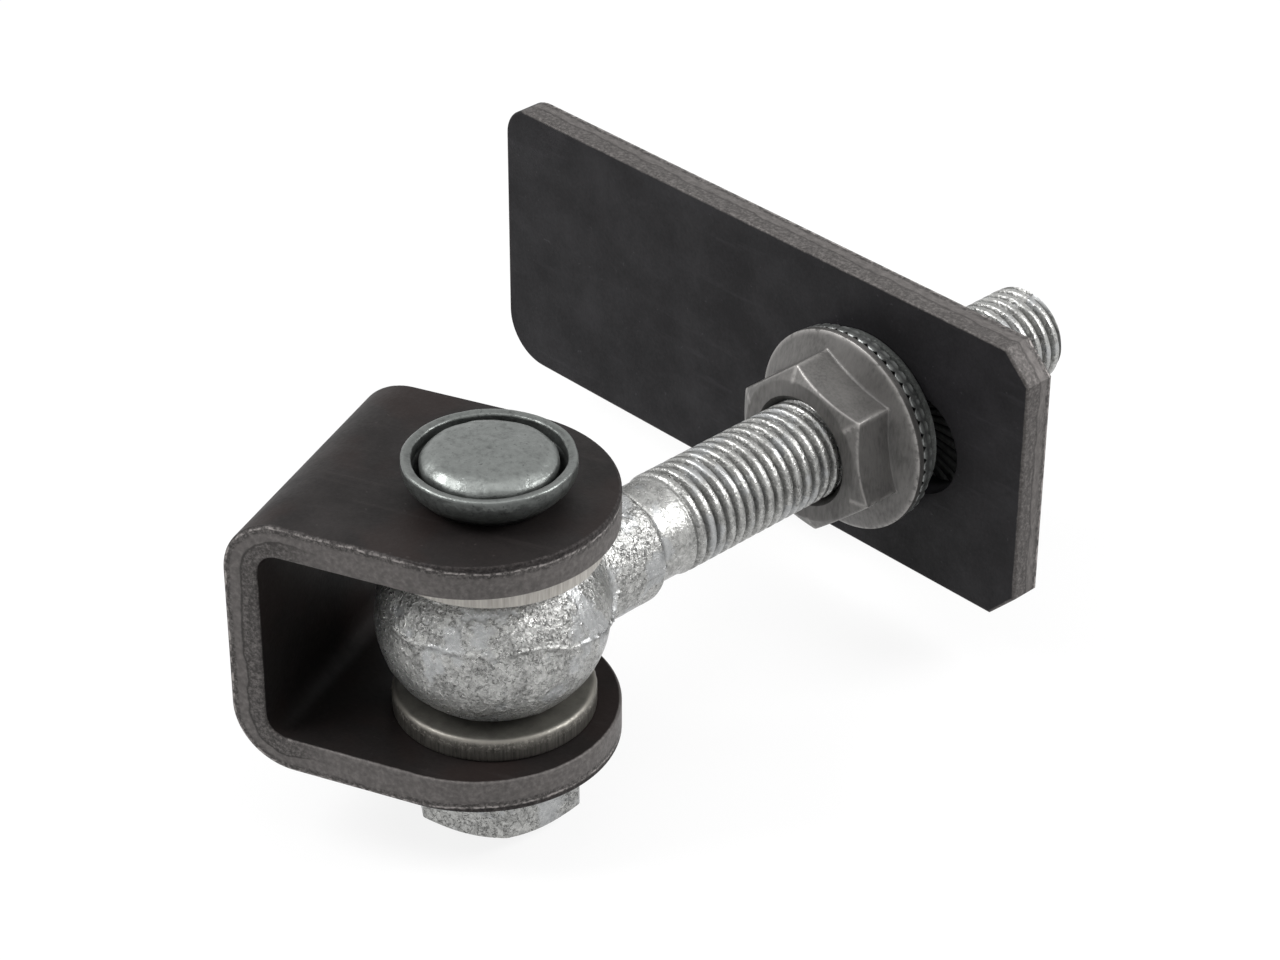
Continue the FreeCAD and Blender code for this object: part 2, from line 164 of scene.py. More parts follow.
def rounded_outline(corners, rounds, closed=True, steps=6):
    """Polygon corners with an arc of the stated radius at each, as one array of points.

    An arc touches both sides at radius * cot(half angle) from the corner."""
    corners = np.asarray(corners, float)
    count = len(corners)
    out = []
    for i, radius in enumerate(rounds):
        here = corners[i]
        if radius <= 0 or (not closed and i in (0, count - 1)):
            out.append(here[None])
            continue
        a = corners[i - 1] - here
        b = corners[(i + 1) % count] - here
        a /= np.linalg.norm(a)
        b /= np.linalg.norm(b)
        half = math.acos(np.clip(a @ b, -1, 1)) / 2
        middle = a + b
        centre = here + middle / np.linalg.norm(middle) * radius / math.sin(half)
        start = here + a * radius / math.tan(half)
        end = here + b * radius / math.tan(half)
        sweep = math.pi - 2 * half
        t = np.linspace(0, 1, steps + 1)[:, None]
        u, v = start - centre, end - centre
        arc = (u * np.sin((1 - t) * sweep) + v * np.sin(t * sweep)) / math.sin(sweep)
        out.append(centre + arc)
    return np.concatenate(out)


def refined(points, longest, closed=False):
    """The same outline with extra points, so that no span is longer than stated."""
    ends = np.roll(points, -1, 0) if closed else points[1:]
    starts = points if closed else points[:-1]
    out = []
    for a, b in zip(starts, ends):
        n = max(1, math.ceil(np.linalg.norm(b - a) / longest))
        out.append(a + (b - a) * (np.arange(n) / n)[:, None])
    if not closed:
        out.append(points[-1:])
    return np.concatenate(out)


def grid_quads(rows, columns, close_rows=False, close_columns=True, row_shift=0):
    """Corner numbers of a grid's quads. row_shift joins the last column to the first one
    that many rows further on, as the turns of a screw need."""
    number = np.arange(rows * columns).reshape(rows, columns)
    last = rows if close_rows else rows - 1
    i = np.arange(last)
    following = (i + 1) % rows
    parts = []
    inner = np.arange(columns - 1)
    parts.append(np.stack([
        number[i][:, inner], number[i][:, inner + 1],
        number[following][:, inner + 1], number[following][:, inner]], -1).reshape(-1, 4))
    if close_columns:
        i = i[:last - row_shift]
        here, beyond = number[i, columns - 1], number[i + 1 if not close_rows else (i + 1) % rows,
                                                      columns - 1]
        first = number[(i + row_shift) % rows, 0]
        second = number[(i + row_shift + 1) % rows, 0]
        parts.append(np.stack([here, first, second, beyond], -1))
    return np.concatenate(parts)


def closed_ring(points):
    """A grid that is joined to itself along both its rows and its columns, with its quads."""
    return points, grid_quads(*points.shape[:2], close_rows=True)


def make_surface(name, grids, finish, body, stands_for=(), crease=40, fields=None):
    """One mesh from (points, quads) grids: doubles are merged and its faces point outwards.

    fields maps an attribute's name to one value per point, for the finish to read."""
    points = np.concatenate([g[0].reshape(-1, 3) for g in grids])
    offsets = np.cumsum([0] + [len(g[0].reshape(-1, 3)) for g in grids[:-1]])
    quads = np.concatenate([g[1] + o for g, o in zip(grids, offsets)])
    a, b, c, d = (points[quads[:, k]] for k in range(4))
    volume = np.einsum("ij,ij->i", a, np.cross(b, c) + np.cross(c, d)).sum()
    if volume < 0:
        quads = quads[:, ::-1]
    mesh = bpy.data.meshes.new(name)
    mesh.from_pydata(points.tolist(), [], quads.tolist())
    for field, values in (fields or {}).items():
        layer = mesh.attributes.new(field, "FLOAT", "POINT")
        layer.data.foreach_set("value", np.asarray(values, np.float32).ravel())
    work = bmesh.new()
    work.from_mesh(mesh)
    bmesh.ops.remove_doubles(work, verts=work.verts, dist=2e-7)
    bmesh.ops.dissolve_degenerate(work, edges=work.edges, dist=1e-8)
    work.to_mesh(mesh)
    work.free()
    mesh.polygons.foreach_set("use_smooth", np.ones(len(mesh.polygons), bool))
    mesh.set_sharp_from_angle(angle=math.radians(crease))
    mesh.materials.append(finish)
    piece = bpy.data.objects.new(name, mesh)
    bpy.context.scene.collection.objects.link(piece)
    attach(piece, body)
    if stands_for:
        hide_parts(*stands_for)
    return piece


def turned_points(outline, columns, place, radius_change=None):
    """A surface of revolution: each outline point (radius, height) is carried round the axis.

    radius_change(radius, height, angle) may add to the radius, as arrays."""
    angle = np.arange(columns) * (2 * np.pi / columns)
    radius = np.repeat(outline[:, :1], columns, 1)
    height = np.repeat(outline[:, 1:], columns, 1)
    angle = np.broadcast_to(angle, radius.shape)
    if radius_change is not None:
        radius = radius + radius_change(radius, height, angle)
    return put_in_place(around(radius, height, angle), place)


def faded(colour, factor):
    """The colour times the factor, with no part over 0.9."""
    return [min(0.9, part * factor) for part in colour]


class SteelFinish:
    """Lays out one material: each method adds a node and returns its output."""

    def __init__(self, name, metallic, roughness, specular=0.5):
        self.material = bpy.data.materials.new(name)
        self.material.use_nodes = True
        self.tree = self.material.node_tree
        self.tree.nodes.clear()
        output = self.tree.nodes.new("ShaderNodeOutputMaterial")
        self.shader = self.tree.nodes.new("ShaderNodeBsdfPrincipled")
        self.tree.links.new(self.shader.outputs["BSDF"], output.inputs["Surface"])
        self.shader.inputs["Metallic"].default_value = metallic
        self.shader.inputs["Roughness"].default_value = roughness
        self.shader.inputs["Specular IOR Level"].default_value = specular
        self.place = self.tree.nodes.new("ShaderNodeTexCoord").outputs["Object"]

    def put(self, socket, value):
        """Links an output to the socket, or sets the socket to a number or colour."""
        if isinstance(value, bpy.types.NodeSocket):
            self.tree.links.new(value, socket)
        elif socket.type == "RGBA":
            socket.default_value = (*value, 1.0)[:4]
        else:
            socket.default_value = value

    def set(self, name, value):
        """Gives one input of the shader its value."""
        self.put(self.shader.inputs[name], value)

    def field(self, name):
        """The value that make_surface stored at each point under that name."""
        node = self.tree.nodes.new("ShaderNodeAttribute")
        node.attribute_name = name
        return node.outputs["Fac"]

    def axes(self, vector):
        """The vector's x, y and z."""
        node = self.tree.nodes.new("ShaderNodeSeparateXYZ")
        self.put(node.inputs[0], vector)
        return node.outputs[0], node.outputs[1], node.outputs[2]

    def turned(self, vector, location=(0, 0, 0), rotation=(0, 0, 0), scale=(1, 1, 1)):
        """The vector scaled, turned and then moved."""
        node = self.tree.nodes.new("ShaderNodeMapping")
        self.put(node.inputs["Vector"], vector)
        node.inputs["Location"].default_value = location
        node.inputs["Rotation"].default_value = rotation
        node.inputs["Scale"].default_value = scale
        return node.outputs[0]

    def maths(self, operation, a, b=0.0, c=0.0):
        """One operation of the Math node on up to three numbers or outputs."""
        node = self.tree.nodes.new("ShaderNodeMath")
        node.operation = operation
        for socket, value in zip(node.inputs, (a, b, c)):
            self.put(socket, value)
        return node.outputs[0]

    def times(self, a, b, plus=None):
        """a times b, and what is given as plus is added to it."""
        if plus is None:
            return self.maths("MULTIPLY", a, b)
        return self.maths("MULTIPLY_ADD", a, b, plus)

    def between(self, value, low, high, to_low=0.0, to_high=1.0):
        """An even S-curve from to_low at low to to_high at high."""
        node = self.tree.nodes.new("ShaderNodeMapRange")
        node.interpolation_type = "SMOOTHSTEP"
        for socket, v in zip(node.inputs, (value, low, high, to_low, to_high)):
            self.put(socket, v)
        return node.outputs[0]

    def noise(self, size, detail=3.0, rough=0.55, vector=None):
        """Noise whose largest features measure about size, in metres."""
        node = self.tree.nodes.new("ShaderNodeTexNoise")
        self.put(node.inputs["Vector"], self.place if vector is None else vector)
        node.inputs["Scale"].default_value = 1 / size
        node.inputs["Detail"].default_value = detail
        node.inputs["Roughness"].default_value = rough
        return node.outputs["Fac"]

    def cells(self, size):
        """Distance to the nearest of many scattered points, as a share of their spacing."""
        node = self.tree.nodes.new("ShaderNodeTexVoronoi")
        self.put(node.inputs["Vector"], self.place)
        node.inputs["Scale"].default_value = 1 / size
        return node.outputs["Distance"]

    def colour(self, value, stops):
        """Colour ramp: stops are (position, colour) pairs."""
        node = self.tree.nodes.new("ShaderNodeValToRGB")
        self.put(node.inputs[0], value)
        ramp = node.color_ramp
        while len(ramp.elements) < len(stops):
            ramp.elements.new(0.5)
        for element, (position, colour) in zip(ramp.elements, stops):
            element.position = position
            element.color = (*colour, 1.0)
        return node.outputs[0]

    def blend(self, amount, a, b):
        """Colour a where amount is 0, and colour b where it is 1."""
        node = self.tree.nodes.new("ShaderNodeMix")
        node.data_type = "RGBA"
        self.put(node.inputs["Factor"], amount)
        self.put(node.inputs[6], a)
        self.put(node.inputs[7], b)
        return node.outputs[2]

    def relief(self, height, depth, strength=1.0, under=None):
        """Bump with a height from 0 to 1 standing for a real depth, in metres."""
        node = self.tree.nodes.new("ShaderNodeBump")
        node.inputs["Strength"].default_value = strength
        node.inputs["Distance"].default_value = depth
        self.put(node.inputs["Height"], height)
        if under is not None:
            self.put(node.inputs["Normal"], under)
        return node.outputs[0]


def galvanised(name, light, dark, crinkle=1.0):
    """Hot-dip zinc: a crinkled skin with dark hairlines, smooth bluish patches and pits."""
    f = SteelFinish(name, 0.90, 0.36)
    flat = f.between(f.noise(0.0085, 3.0, 0.5), 0.54, 0.62)
    flat = f.times(flat, 0.8)
    grain = f.noise(0.0011, 4.0, 0.62)
    fine = f.noise(0.00050, 3.0, 0.6)
    clouds = f.noise(0.0046, 3.0, 0.55)
    tone = f.times(grain, 0.40, f.times(fine, 0.30))
    tone = f.times(clouds, 0.30, tone)
    middle = [0.5 * (a + b) for a, b in zip(dark, light)]
    stops = [(0.36, dark), (0.45, middle), (0.54, light), (0.66, faded(light, 1.30))]
    base = f.colour(tone, stops)
    base = f.blend(f.times(flat, 0.7), base,
                   [0.92 * light[0], 0.945 * light[1], light[2]])
    # Hairlines run where a noise passes its middle level, and pits lie round scattered points
    fold = f.maths("ABSOLUTE", f.maths("SUBTRACT", f.noise(0.0021, 4.0, 0.6), 0.5))
    fold = f.times(f.between(fold, 0.020, 0.006), f.maths("SUBTRACT", 1.0, flat))
    base = f.blend(f.times(fold, 0.75 * crinkle), base, faded(dark, 0.32))
    pit_edge = f.times(f.noise(0.0008, 2.0), 0.5, f.cells(0.0046))
    pit = f.between(pit_edge, 0.36, 0.28)
    base = f.blend(f.times(pit, 0.5), base, faded(dark, 0.45))
    # Painted shade: darker in the thread roots, grooves, creases and bore that the stored field
    # marks
    base = f.blend(f.times(f.field("painted_shade"), 0.85), base, faded(dark, 0.26))
    f.set("Base Color", base)
    f.set("Roughness", f.between(grain, 0.35, 0.65, 0.40, 0.24))
    skin = f.times(grain, f.times(flat, -0.75, 1.0))
    bump = f.relief(f.noise(0.0032, 2.0, 0.5), 0.00030 * crinkle, 0.6)
    bump = f.relief(skin, 0.00048 * crinkle, 1.0, bump)
    bump = f.relief(fine, 0.00008 * crinkle, 0.9, bump)
    f.set("Normal", f.relief(f.maths("SUBTRACT", 1.0, f.maths("MAXIMUM", fold, pit)),
                             0.00016 * crinkle, 0.8, bump))
    return f.material


def dull_zinc(name, light, dark):
    """Greenish weathered zinc: fine mottle, dark flecks and a slightly rough skin, with painted
    shade in the hollows and bright edges that are partly wear and partly painted highlight.
    """
    f = SteelFinish(name, 0.70, 0.40)
    mottle = f.noise(0.0013, 5.0, 0.62)
    patches = f.noise(0.005, 3.0, 0.55)
    flecks = f.noise(0.0006, 2.0, 0.5)
    tone = f.times(mottle, 0.7, f.times(patches, 0.35))
    base = f.colour(tone, [(0.34, dark), (0.50, light), (0.68, faded(light, 1.22))])
    base = f.blend(f.between(flecks, 0.64, 0.72, 0.0, 0.7), base, faded(dark, 0.55))
    # Painted shade in the hollows, from the stored field
    base = f.blend(f.times(f.field("painted_shade"), 0.85), base, faded(dark, 0.25))
    # Bright edges, partly wear and partly painted highlight
    base = f.blend(f.times(f.field("wear_and_glint"), 0.55), base, faded(light, 1.7))
    f.set("Base Color", base)
    f.set("Roughness", f.between(patches, 0.40, 0.60, 0.44, 0.28))
    bump = f.relief(mottle, 0.00016, 0.7)
    f.set("Normal", f.relief(flecks, 0.00007, 0.7, bump))
    return f.material


def satin_nut(name, light, dark):
    """Plain machined steel with a soft satin skin and faint drawn lines, bright edges that are
    partly wear and partly painted highlight, and painted shade in the hollows.
    """
    f = SteelFinish(name, 0.55, 0.42)
    patches = f.noise(0.007, 3.0, 0.55)
    grain = f.noise(0.0007, 3.0, 0.6, vector=f.turned(f.place, scale=(1.0, 1.0, 0.22)))
    tone = f.times(grain, 0.5, f.times(patches, 0.5))
    base = f.colour(tone, [(0.34, dark), (0.52, light), (0.70, faded(light, 1.25))])
    scuffs = f.between(f.noise(0.0022, 4.0, 0.7), 0.64, 0.70)
    base = f.blend(f.times(scuffs, 0.35), base, faded(dark, 0.55))
    # Bright broken edges, partly wear and partly painted highlight
    edge_wear_and_glint = f.times(f.field("wear_and_glint"), f.between(f.noise(0.0016, 3.0), 0.30, 0.52))
    base = f.blend(edge_wear_and_glint, base, faded(light, 3.2))
    # Painted shade in the flange's crease, the bore and the grooves between the teeth
    base = f.blend(f.times(f.field("painted_shade"), 0.9), base, faded(dark, 0.15))
    f.set("Base Color", base)
    f.set("Roughness", f.between(grain, 0.3, 0.7, 0.46, 0.36))
    f.set("Normal", f.relief(grain, 0.00005, 0.6, f.relief(patches, 0.0002, 0.3)))
    return f.material


def washer_steel(name, top, rim, rim_dark):
    """Stamped washer: a turned dull face, a rim with a sheared and a torn band, and a painted
    highlight along its upper rounded edge.
    """
    f = SteelFinish(name, 0.55, 0.45)
    streak = f.noise(0.0006, 2.0, 0.6, vector=f.turned(f.place, scale=(1, 1, 0.08)))
    mottle = f.noise(0.0035, 4.0, 0.6)
    face = f.colour(mottle, [(0.35, faded(top, 0.75)), (0.6, top)])
    side = f.colour(streak, [(0.34, rim_dark), (0.56, rim), (0.76, faded(rim, 1.25))])
    base = f.blend(f.field("rim"), face, side)
    torn = f.times(f.field("torn"), f.between(f.noise(0.0007, 4.0, 0.7), 0.52, 0.60))
    base = f.blend(torn, base, faded(rim, 2.6))
    # Painted highlight along the upper rounded edge, from the stored field
    base = f.blend(f.times(f.field("wear_and_glint"), 0.75), base, faded(rim, 3.0))
    f.set("Base Color", base)
    f.set("Roughness", f.between(streak, 0.3, 0.7, 0.52, 0.36))
    bump = f.relief(streak, 0.00006, 0.6)
    f.set("Normal", f.relief(torn, 0.00018, 0.8, bump))
    return f.material


def rolled_bar(name, skin, cut, local, depth_in, from_side, line_depth, inner_rough,
               streaks, side_streaks, rust):
    """Hot-rolled bar: a near-black mill-scale skin and mid-grey sheared or sawn sides.

    depth_in is how deep a point lies under the skin, across the bar's thickness, and
    from_side how far it lies outside the line where the cut sides begin. A bright broken
    line runs along each side at line_depth, with rolled-over scale above it and a torn band
    below it, and inner_rough is how far the side's inner half is torn too."""
    f = SteelFinish(name, 0.0, 0.52, 0.12)
    place = local(f)
    outside = from_side(f, place)
    deep = depth_in(f, place)
    line = line_depth(f, place)
    cloud = f.noise(0.014, 4.0, 0.6)
    speck = f.noise(0.0009, 3.0, 0.65)
    drawn = f.noise(0.006, 4.0, 0.6, vector=streaks(f, place))
    tone = f.times(speck, 0.30, f.times(cloud, 0.70))
    scale_skin = f.colour(tone, [(0.36, faded(skin, 0.72)), (0.50, skin),
                                 (0.66, faded(skin, 1.40))])
    warm = f.between(f.noise(0.022, 3.0, 0.55), 0.44, 0.60)
    scale_skin = f.blend(f.times(warm, rust), scale_skin,
                         [1.45 * skin[0], 1.10 * skin[1], skin[2]])
    faint = f.between(drawn, 0.58, 0.74)
    scale_skin = f.blend(f.times(faint, 0.34), scale_skin, faded(skin, 2.4))
    bright_speck = f.between(f.noise(0.0015, 2.0, 0.5), 0.715, 0.76)
    scale_skin = f.blend(f.times(bright_speck, 0.45), scale_skin, faded(skin, 3.5))

    # The cut sides: a smooth and a torn band, a dark crack, a bright line and rolled-over scale
    wobble = f.times(f.noise(0.0026, 4.0, 0.65), 0.0009, -0.00045)
    under = f.maths("ADD", f.maths("SUBTRACT", deep, line), wobble)
    fibre = f.noise(0.0011, 4.0, 0.62, vector=side_streaks(f, place))
    grit = f.noise(0.00075, 4.0, 0.70)
    smooth_band = f.colour(fibre, [(0.34, faded(cut, 0.78)), (0.50, cut),
                                   (0.66, faded(cut, 1.28))])
    torn_band = f.colour(grit, [(0.38, faded(cut, 0.20)), (0.50, faded(cut, 0.52)),
                                (0.64, faded(cut, 1.35))])
    halfway = f.maths("ADD", deep, f.times(f.noise(0.0075, 4.0, 0.6), 0.0030, -0.0015))
    inner = f.times(f.between(halfway, 0.0038, 0.0044), inner_rough(f, place))
    side = f.blend(f.times(inner, 0.75), smooth_band, torn_band)
    crack = f.times(f.between(halfway, 0.0036, 0.0040), f.between(halfway, 0.0045, 0.0041))
    crack = f.times(crack, inner_rough(f, place))
    side = f.blend(f.times(crack, 0.65), side, faded(cut, 0.18))
    side = f.blend(f.between(under, 0.0015, 0.0008, 0.0, 0.8), side, torn_band)
    glint = f.times(f.between(under, -0.00034, -0.00010), f.between(under, 0.00032, 0.00008))
    glint = f.times(glint, f.between(f.noise(0.0016, 4.0, 0.7), 0.42, 0.60))
    side = f.blend(glint, side, faded(cut, 2.7))
    rolled = f.colour(grit, [(0.36, faded(skin, 0.8)), (0.56, faded(skin, 2.6)),
                             (0.70, faded(cut, 0.55))])
    side = f.blend(f.between(under, -0.00020, -0.00055), side, rolled)
    on_side = f.between(f.times(wobble, 0.5, outside), -0.00075, -0.00035)
    base = f.blend(on_side, scale_skin, side)
    f.set("Base Color", base)
    bare = f.times(on_side, f.between(under, -0.00055, -0.00020))
    f.set("Metallic", f.times(bare, 0.30))
    f.set("Roughness", f.between(tone, 0.3, 0.7, 0.60, 0.44))
    bump = f.relief(cloud, 0.0003, 0.35)
    bump = f.relief(speck, 0.00007, 0.6, bump)
    cut_relief = f.times(on_side, grit)
    f.set("Normal", f.relief(cut_relief, 0.00016, 0.7, bump))
    return f.material


class GateHingeSizes(bpy.types.PropertyGroup):
    """Sizes that the solids don't have: thread, parting line, zinc and teeth"""
    pitch: bpy.props.FloatProperty(
        name="Thread pitch", description="Distance between neighbouring crests",
        default=0.003, min=0.001, unit="LENGTH", subtype="DISTANCE")
    thread_depth: bpy.props.FloatProperty(
        name="Thread depth", description="Crest to root, after galvanising",
        default=0.00135, min=0.0002, unit="LENGTH", subtype="DISTANCE")
    flash_height: bpy.props.FloatProperty(
        name="Flash height", description="How far the forging's parting line stands proud",
        default=0.00045, min=0.0, unit="LENGTH", subtype="DISTANCE")
    skin_lumps: bpy.props.FloatProperty(
        name="Skin lumps", description="Height of the zinc's unevenness on the forging",
        default=0.00009, min=0.0, unit="LENGTH", subtype="DISTANCE")
    lock_teeth: bpy.props.IntProperty(
        name="Lock washer teeth", description="Radial teeth on each face of a lock washer",
        default=48, min=6)
    tooth_depth: bpy.props.FloatProperty(
        name="Tooth depth", description="Depth of the radial grooves at the rim",
        default=0.0007, min=0.0, unit="LENGTH", subtype="DISTANCE")


class GateHingeColours(bpy.types.PropertyGroup):
    """Linear colours of the finishes and the floor"""
    mill_scale: bpy.props.FloatVectorProperty(
        name="Mill scale", description="Skin of the bracket and the plate",
        default=(0.0105, 0.0090, 0.0088), size=3, min=0, max=1, subtype="COLOR")
    cut_steel: bpy.props.FloatVectorProperty(
        name="Cut steel", description="Sheared sides of the bars",
        default=(0.098, 0.091, 0.088), size=3, min=0, max=1, subtype="COLOR")
    zinc: bpy.props.FloatVectorProperty(
        name="Zinc", description="Light parts of the galvanised forging",
        default=(0.415, 0.415, 0.403), size=3, min=0, max=1, subtype="COLOR")
    dull_zinc: bpy.props.FloatVectorProperty(
        name="Dull zinc", description="Pin head and its cup washer",
        default=(0.145, 0.154, 0.148), size=3, min=0, max=1, subtype="COLOR")
    nut: bpy.props.FloatVectorProperty(
        name="Nut steel", description="Flange nuts",
        default=(0.112, 0.108, 0.104), size=3, min=0, max=1, subtype="COLOR")
    floor: bpy.props.FloatVectorProperty(
        name="Floor", description="Colour of the floor",
        default=(0.9, 0.9, 0.9), size=3, min=0, max=1, subtype="COLOR")


def sizes():
    """The sizes that a user can change."""
    return bpy.context.scene.gate_hinge_sizes


def colours():
    """The colours that a user can change."""
    return bpy.context.scene.gate_hinge_colours


def finish_named(name, maker):
    """The material of that name, made once."""
    return bpy.data.materials.get(name) or maker(name)


def zinc_forging():
    """Lumpy hot-dip zinc of the eye's forging and the pivot nut."""
    c = list(colours().zinc)
    return finish_named("forging_zinc", lambda n: galvanised(n, c, faded(c, 0.36)))


def zinc_thread():
    """The same zinc on both threads, smoother and less contrasting."""
    c = list(colours().zinc)
    return finish_named("thread_zinc",
                        lambda n: galvanised(n, faded(c, 0.95), faded(c, 0.42), 0.4))


def zinc_dull():
    """Dull zinc of the pin's head."""
    c = list(colours().dull_zinc)
    return finish_named("dull_zinc", lambda n: dull_zinc(n, c, faded(c, 0.62)))


def zinc_cup():
    """The head's dull zinc, darker and more mottled, for the cup washer."""
    c = list(colours().dull_zinc)
    return finish_named("cup_zinc", lambda n: dull_zinc(n, faded(c, 0.74), faded(c, 0.33)))


def nut_satin():
    """Satin steel of the flange nuts."""
    c = list(colours().nut)
    return finish_named("satin_nut_steel", lambda n: satin_nut(n, c, faded(c, 0.62)))


# A thread's flanks over one pitch: shares of the pitch, and the height there from root to crest
FLANK_PLACES = np.array([0.0, 0.17, 0.34, 0.40, 0.49, 0.57, 0.62, 0.74, 0.79, 0.87, 0.96])
FLANK_LEVELS = np.array([1.0, 1.0, 1.0, 0.93, 0.45, 0.08, 0.0, 0.0, 0.08, 0.5, 0.93])
THREAD_COLUMNS = 84


def screw_points(start, end, radius, depth, pitch, place, fade, chamfer, seed):
    """A screw thread as one shifted grid, with its quads and a painted shade that grows with how
    deep each point lies.

    Along the axis the radius drops from crest to root and back once a pitch, and the rows
    climb by one pitch a turn, so the last column joins the first one a pitch further on.
    Rows beyond either end are held at the end, where they merge into a circle."""
    per_turn = len(FLANK_PLACES)
    turns = math.ceil((end - start) / pitch) + 2
    row = np.arange(turns * per_turn)
    along = start + (row // per_turn - 1 + FLANK_PLACES[row % per_turn]) * pitch
    angle = np.arange(THREAD_COLUMNS) * (2 * np.pi / THREAD_COLUMNS)
    height = along[:, None] + pitch * angle[None] / (2 * np.pi)
    height = np.clip(height, start, end)
    strength = smooth_step(height, fade[0], fade[1])
    crest = np.repeat(FLANK_LEVELS[row % per_turn][:, None], THREAD_COLUMNS, 1)
    r = radius(height) - depth * (1 - crest) * strength
    lump = waves(around(r, height, angle), 0.0035, seed)
    r = r + lump * 0.00005 * strength
    tip = end - chamfer
    beyond = np.clip((height - tip) / chamfer, 0, 1)
    r = np.minimum(r, radius(height) - chamfer + chamfer * np.sqrt(1 - 0.98 * beyond ** 2))
    # Painted shade that deepens towards the thread's roots
    painted_shade = (1 - crest) ** 2 * strength
    quads = grid_quads(len(row), THREAD_COLUMNS, row_shift=per_turn)
    return put_in_place(around(r, height, angle), place), quads, painted_shade, r


def end_disc(radii, height, place, bulge=0.0):
    """A slightly domed disc that closes a screw's end: rings shrink from the edge to a pole."""
    steps = np.array([1.0, 0.92, 0.75, 0.5, 0.25, 0.0])
    angle = np.arange(len(radii)) * (2 * np.pi / len(radii))
    r = steps[:, None] * radii[None]
    z = height + bulge * (1 - steps[:, None] ** 2) + 0 * r
    return put_in_place(around(r, z, angle), place), grid_quads(len(steps), len(radii))


class GATEHINGE_OT_eye_forging(bpy.types.Operator):
    """Ball-shaped eye and neck: rays from the ball's middle meet a blend of barrel and neck"""
    bl_idname = "gate_hinge.eye_forging"
    bl_label = "Eye forging"

    def execute(self, context):
        ball_r, side_r, neck_r = 0.025, 0.020, 0.0135
        bore_r = PIN_R + 0.00008
        low, high = span("eye_bolt", PIN_PLACE)
        half = (float(high[2]) - float(low[2])) / 2
        inner = ball_r - side_r
        flat_r = inner + math.sqrt(side_r ** 2 - half ** 2)

        # Columns run round the bore, closer together on the neck's side
        columns, rows, crowding = 420, 185, 0.62
        t = np.arange(columns) / columns
        angle = 2 * np.pi * t - crowding * np.sin(2 * np.pi * t)
        lean = np.linspace(-1, 1, rows)
        lean = lean * 0.72 + 0.28 * lean ** 3
        lean = lean * math.atan2(half, flat_r) * 0.995
        a, b = np.meshgrid(angle, lean)
        way = np.stack([np.cos(b) * np.cos(a), np.cos(b) * np.sin(a), np.sin(b)], -1)

        def outside(points):
            """Signed distance from the blended shape: negative inside the metal."""
            x, y, z = points[..., 0], points[..., 1], points[..., 2]
            barrel = np.hypot(np.hypot(x, y) - inner, z) - side_r
            barrel = smooth_max(barrel, np.abs(z) - half, 0.0012)
            neck = smooth_max(np.hypot(y, z) - neck_r, x - NECK_END, 0.0024)
            neck = np.maximum(neck, -x)
            return smooth_min(barrel, neck, 0.0030)

        near, far = np.full(a.shape, 0.010), np.full(a.shape, 0.048)
        for _ in range(26):
            middle = (near + far) / 2
            inside = outside(way * middle[..., None]) < 0
            near, far = np.where(inside, middle, near), np.where(inside, far, middle)
        shell = way * near[..., None]
        x, y, z = shell[..., 0], shell[..., 1], shell[..., 2]

        # The zinc's unevenness, and the parting line with its lap where the neck begins
        lumps = waves(shell, 0.0075, 3) * 0.9 + waves(shell, 0.0032, 4) * 0.55
        root = np.exp(-((np.hypot(x, y) - 0.0245) / 0.0035) ** 2) * smooth_step(x, 0.016, 0.019)
        # It runs above the middle of the ball and comes down to the middle of the neck
        wander = waves(shell, 0.011, 5) * 0.0006 + 0.0058 * smooth_step(-x, -0.014, 0.006)
        line = z - wander - root * 0.0028 * np.sin((x - 0.0215) / 0.0022)
        broken = 0.95 + 0.7 * waves(shell, 0.0030, 6)
        flash = np.exp(-(line / 0.00036) ** 2) * np.clip(broken, 0, 1.3)
        lap = np.exp(-(line / 0.00075) ** 2) * root
        edge = smooth_step(half - np.abs(z), 0, 0.0025)
        lift = (sizes().skin_lumps * lumps + sizes().flash_height * flash) * edge + 0.0007 * lap
        shell = shell * (1 + lift / near)[..., None]
        # The lap's crack: a dark line, painted as shade in its crease
        crack = np.exp(-((line + 0.0011) / 0.0004) ** 2) * root

        # Faces and bore close the shell into a ring
        ring_r = np.concatenate([
            np.linspace(1, 0, 6)[1:-1] * (flat_r - bore_r - 0.0006) + bore_r + 0.0006,
            [bore_r + 0.0006, bore_r], np.full(3, bore_r)[1:], [bore_r, bore_r + 0.0006],
            np.linspace(0, 1, 6)[1:-1] * (flat_r - bore_r - 0.0006) + bore_r + 0.0006])
        ring_z = np.concatenate([
            np.full(5, half), [half - 0.0006], [half / 3, -half / 3], [0.0006 - half],
            np.full(5, -half)])
        rim = around(ring_r[:, None], np.repeat(ring_z[:, None], columns, 1), angle)
        points = np.concatenate([shell, rim])
        # Painted shadow just under the flash, joined with the painted shade along the lap's crack
        shade = np.exp(-((line + 0.0007) / 0.00035) ** 2) * np.clip(broken, 0, 1) * 0.4
        painted_shade = np.concatenate([np.maximum(crack * 0.95, shade), np.zeros(rim.shape[:2])])
        make_surface("eye_forging", [closed_ring(put_in_place(points, BALL_PLACE))],
                     zinc_forging(), "eye", ["eye_bolt"], 50,
                     {"painted_shade": painted_shade})
        return {"FINISHED"}


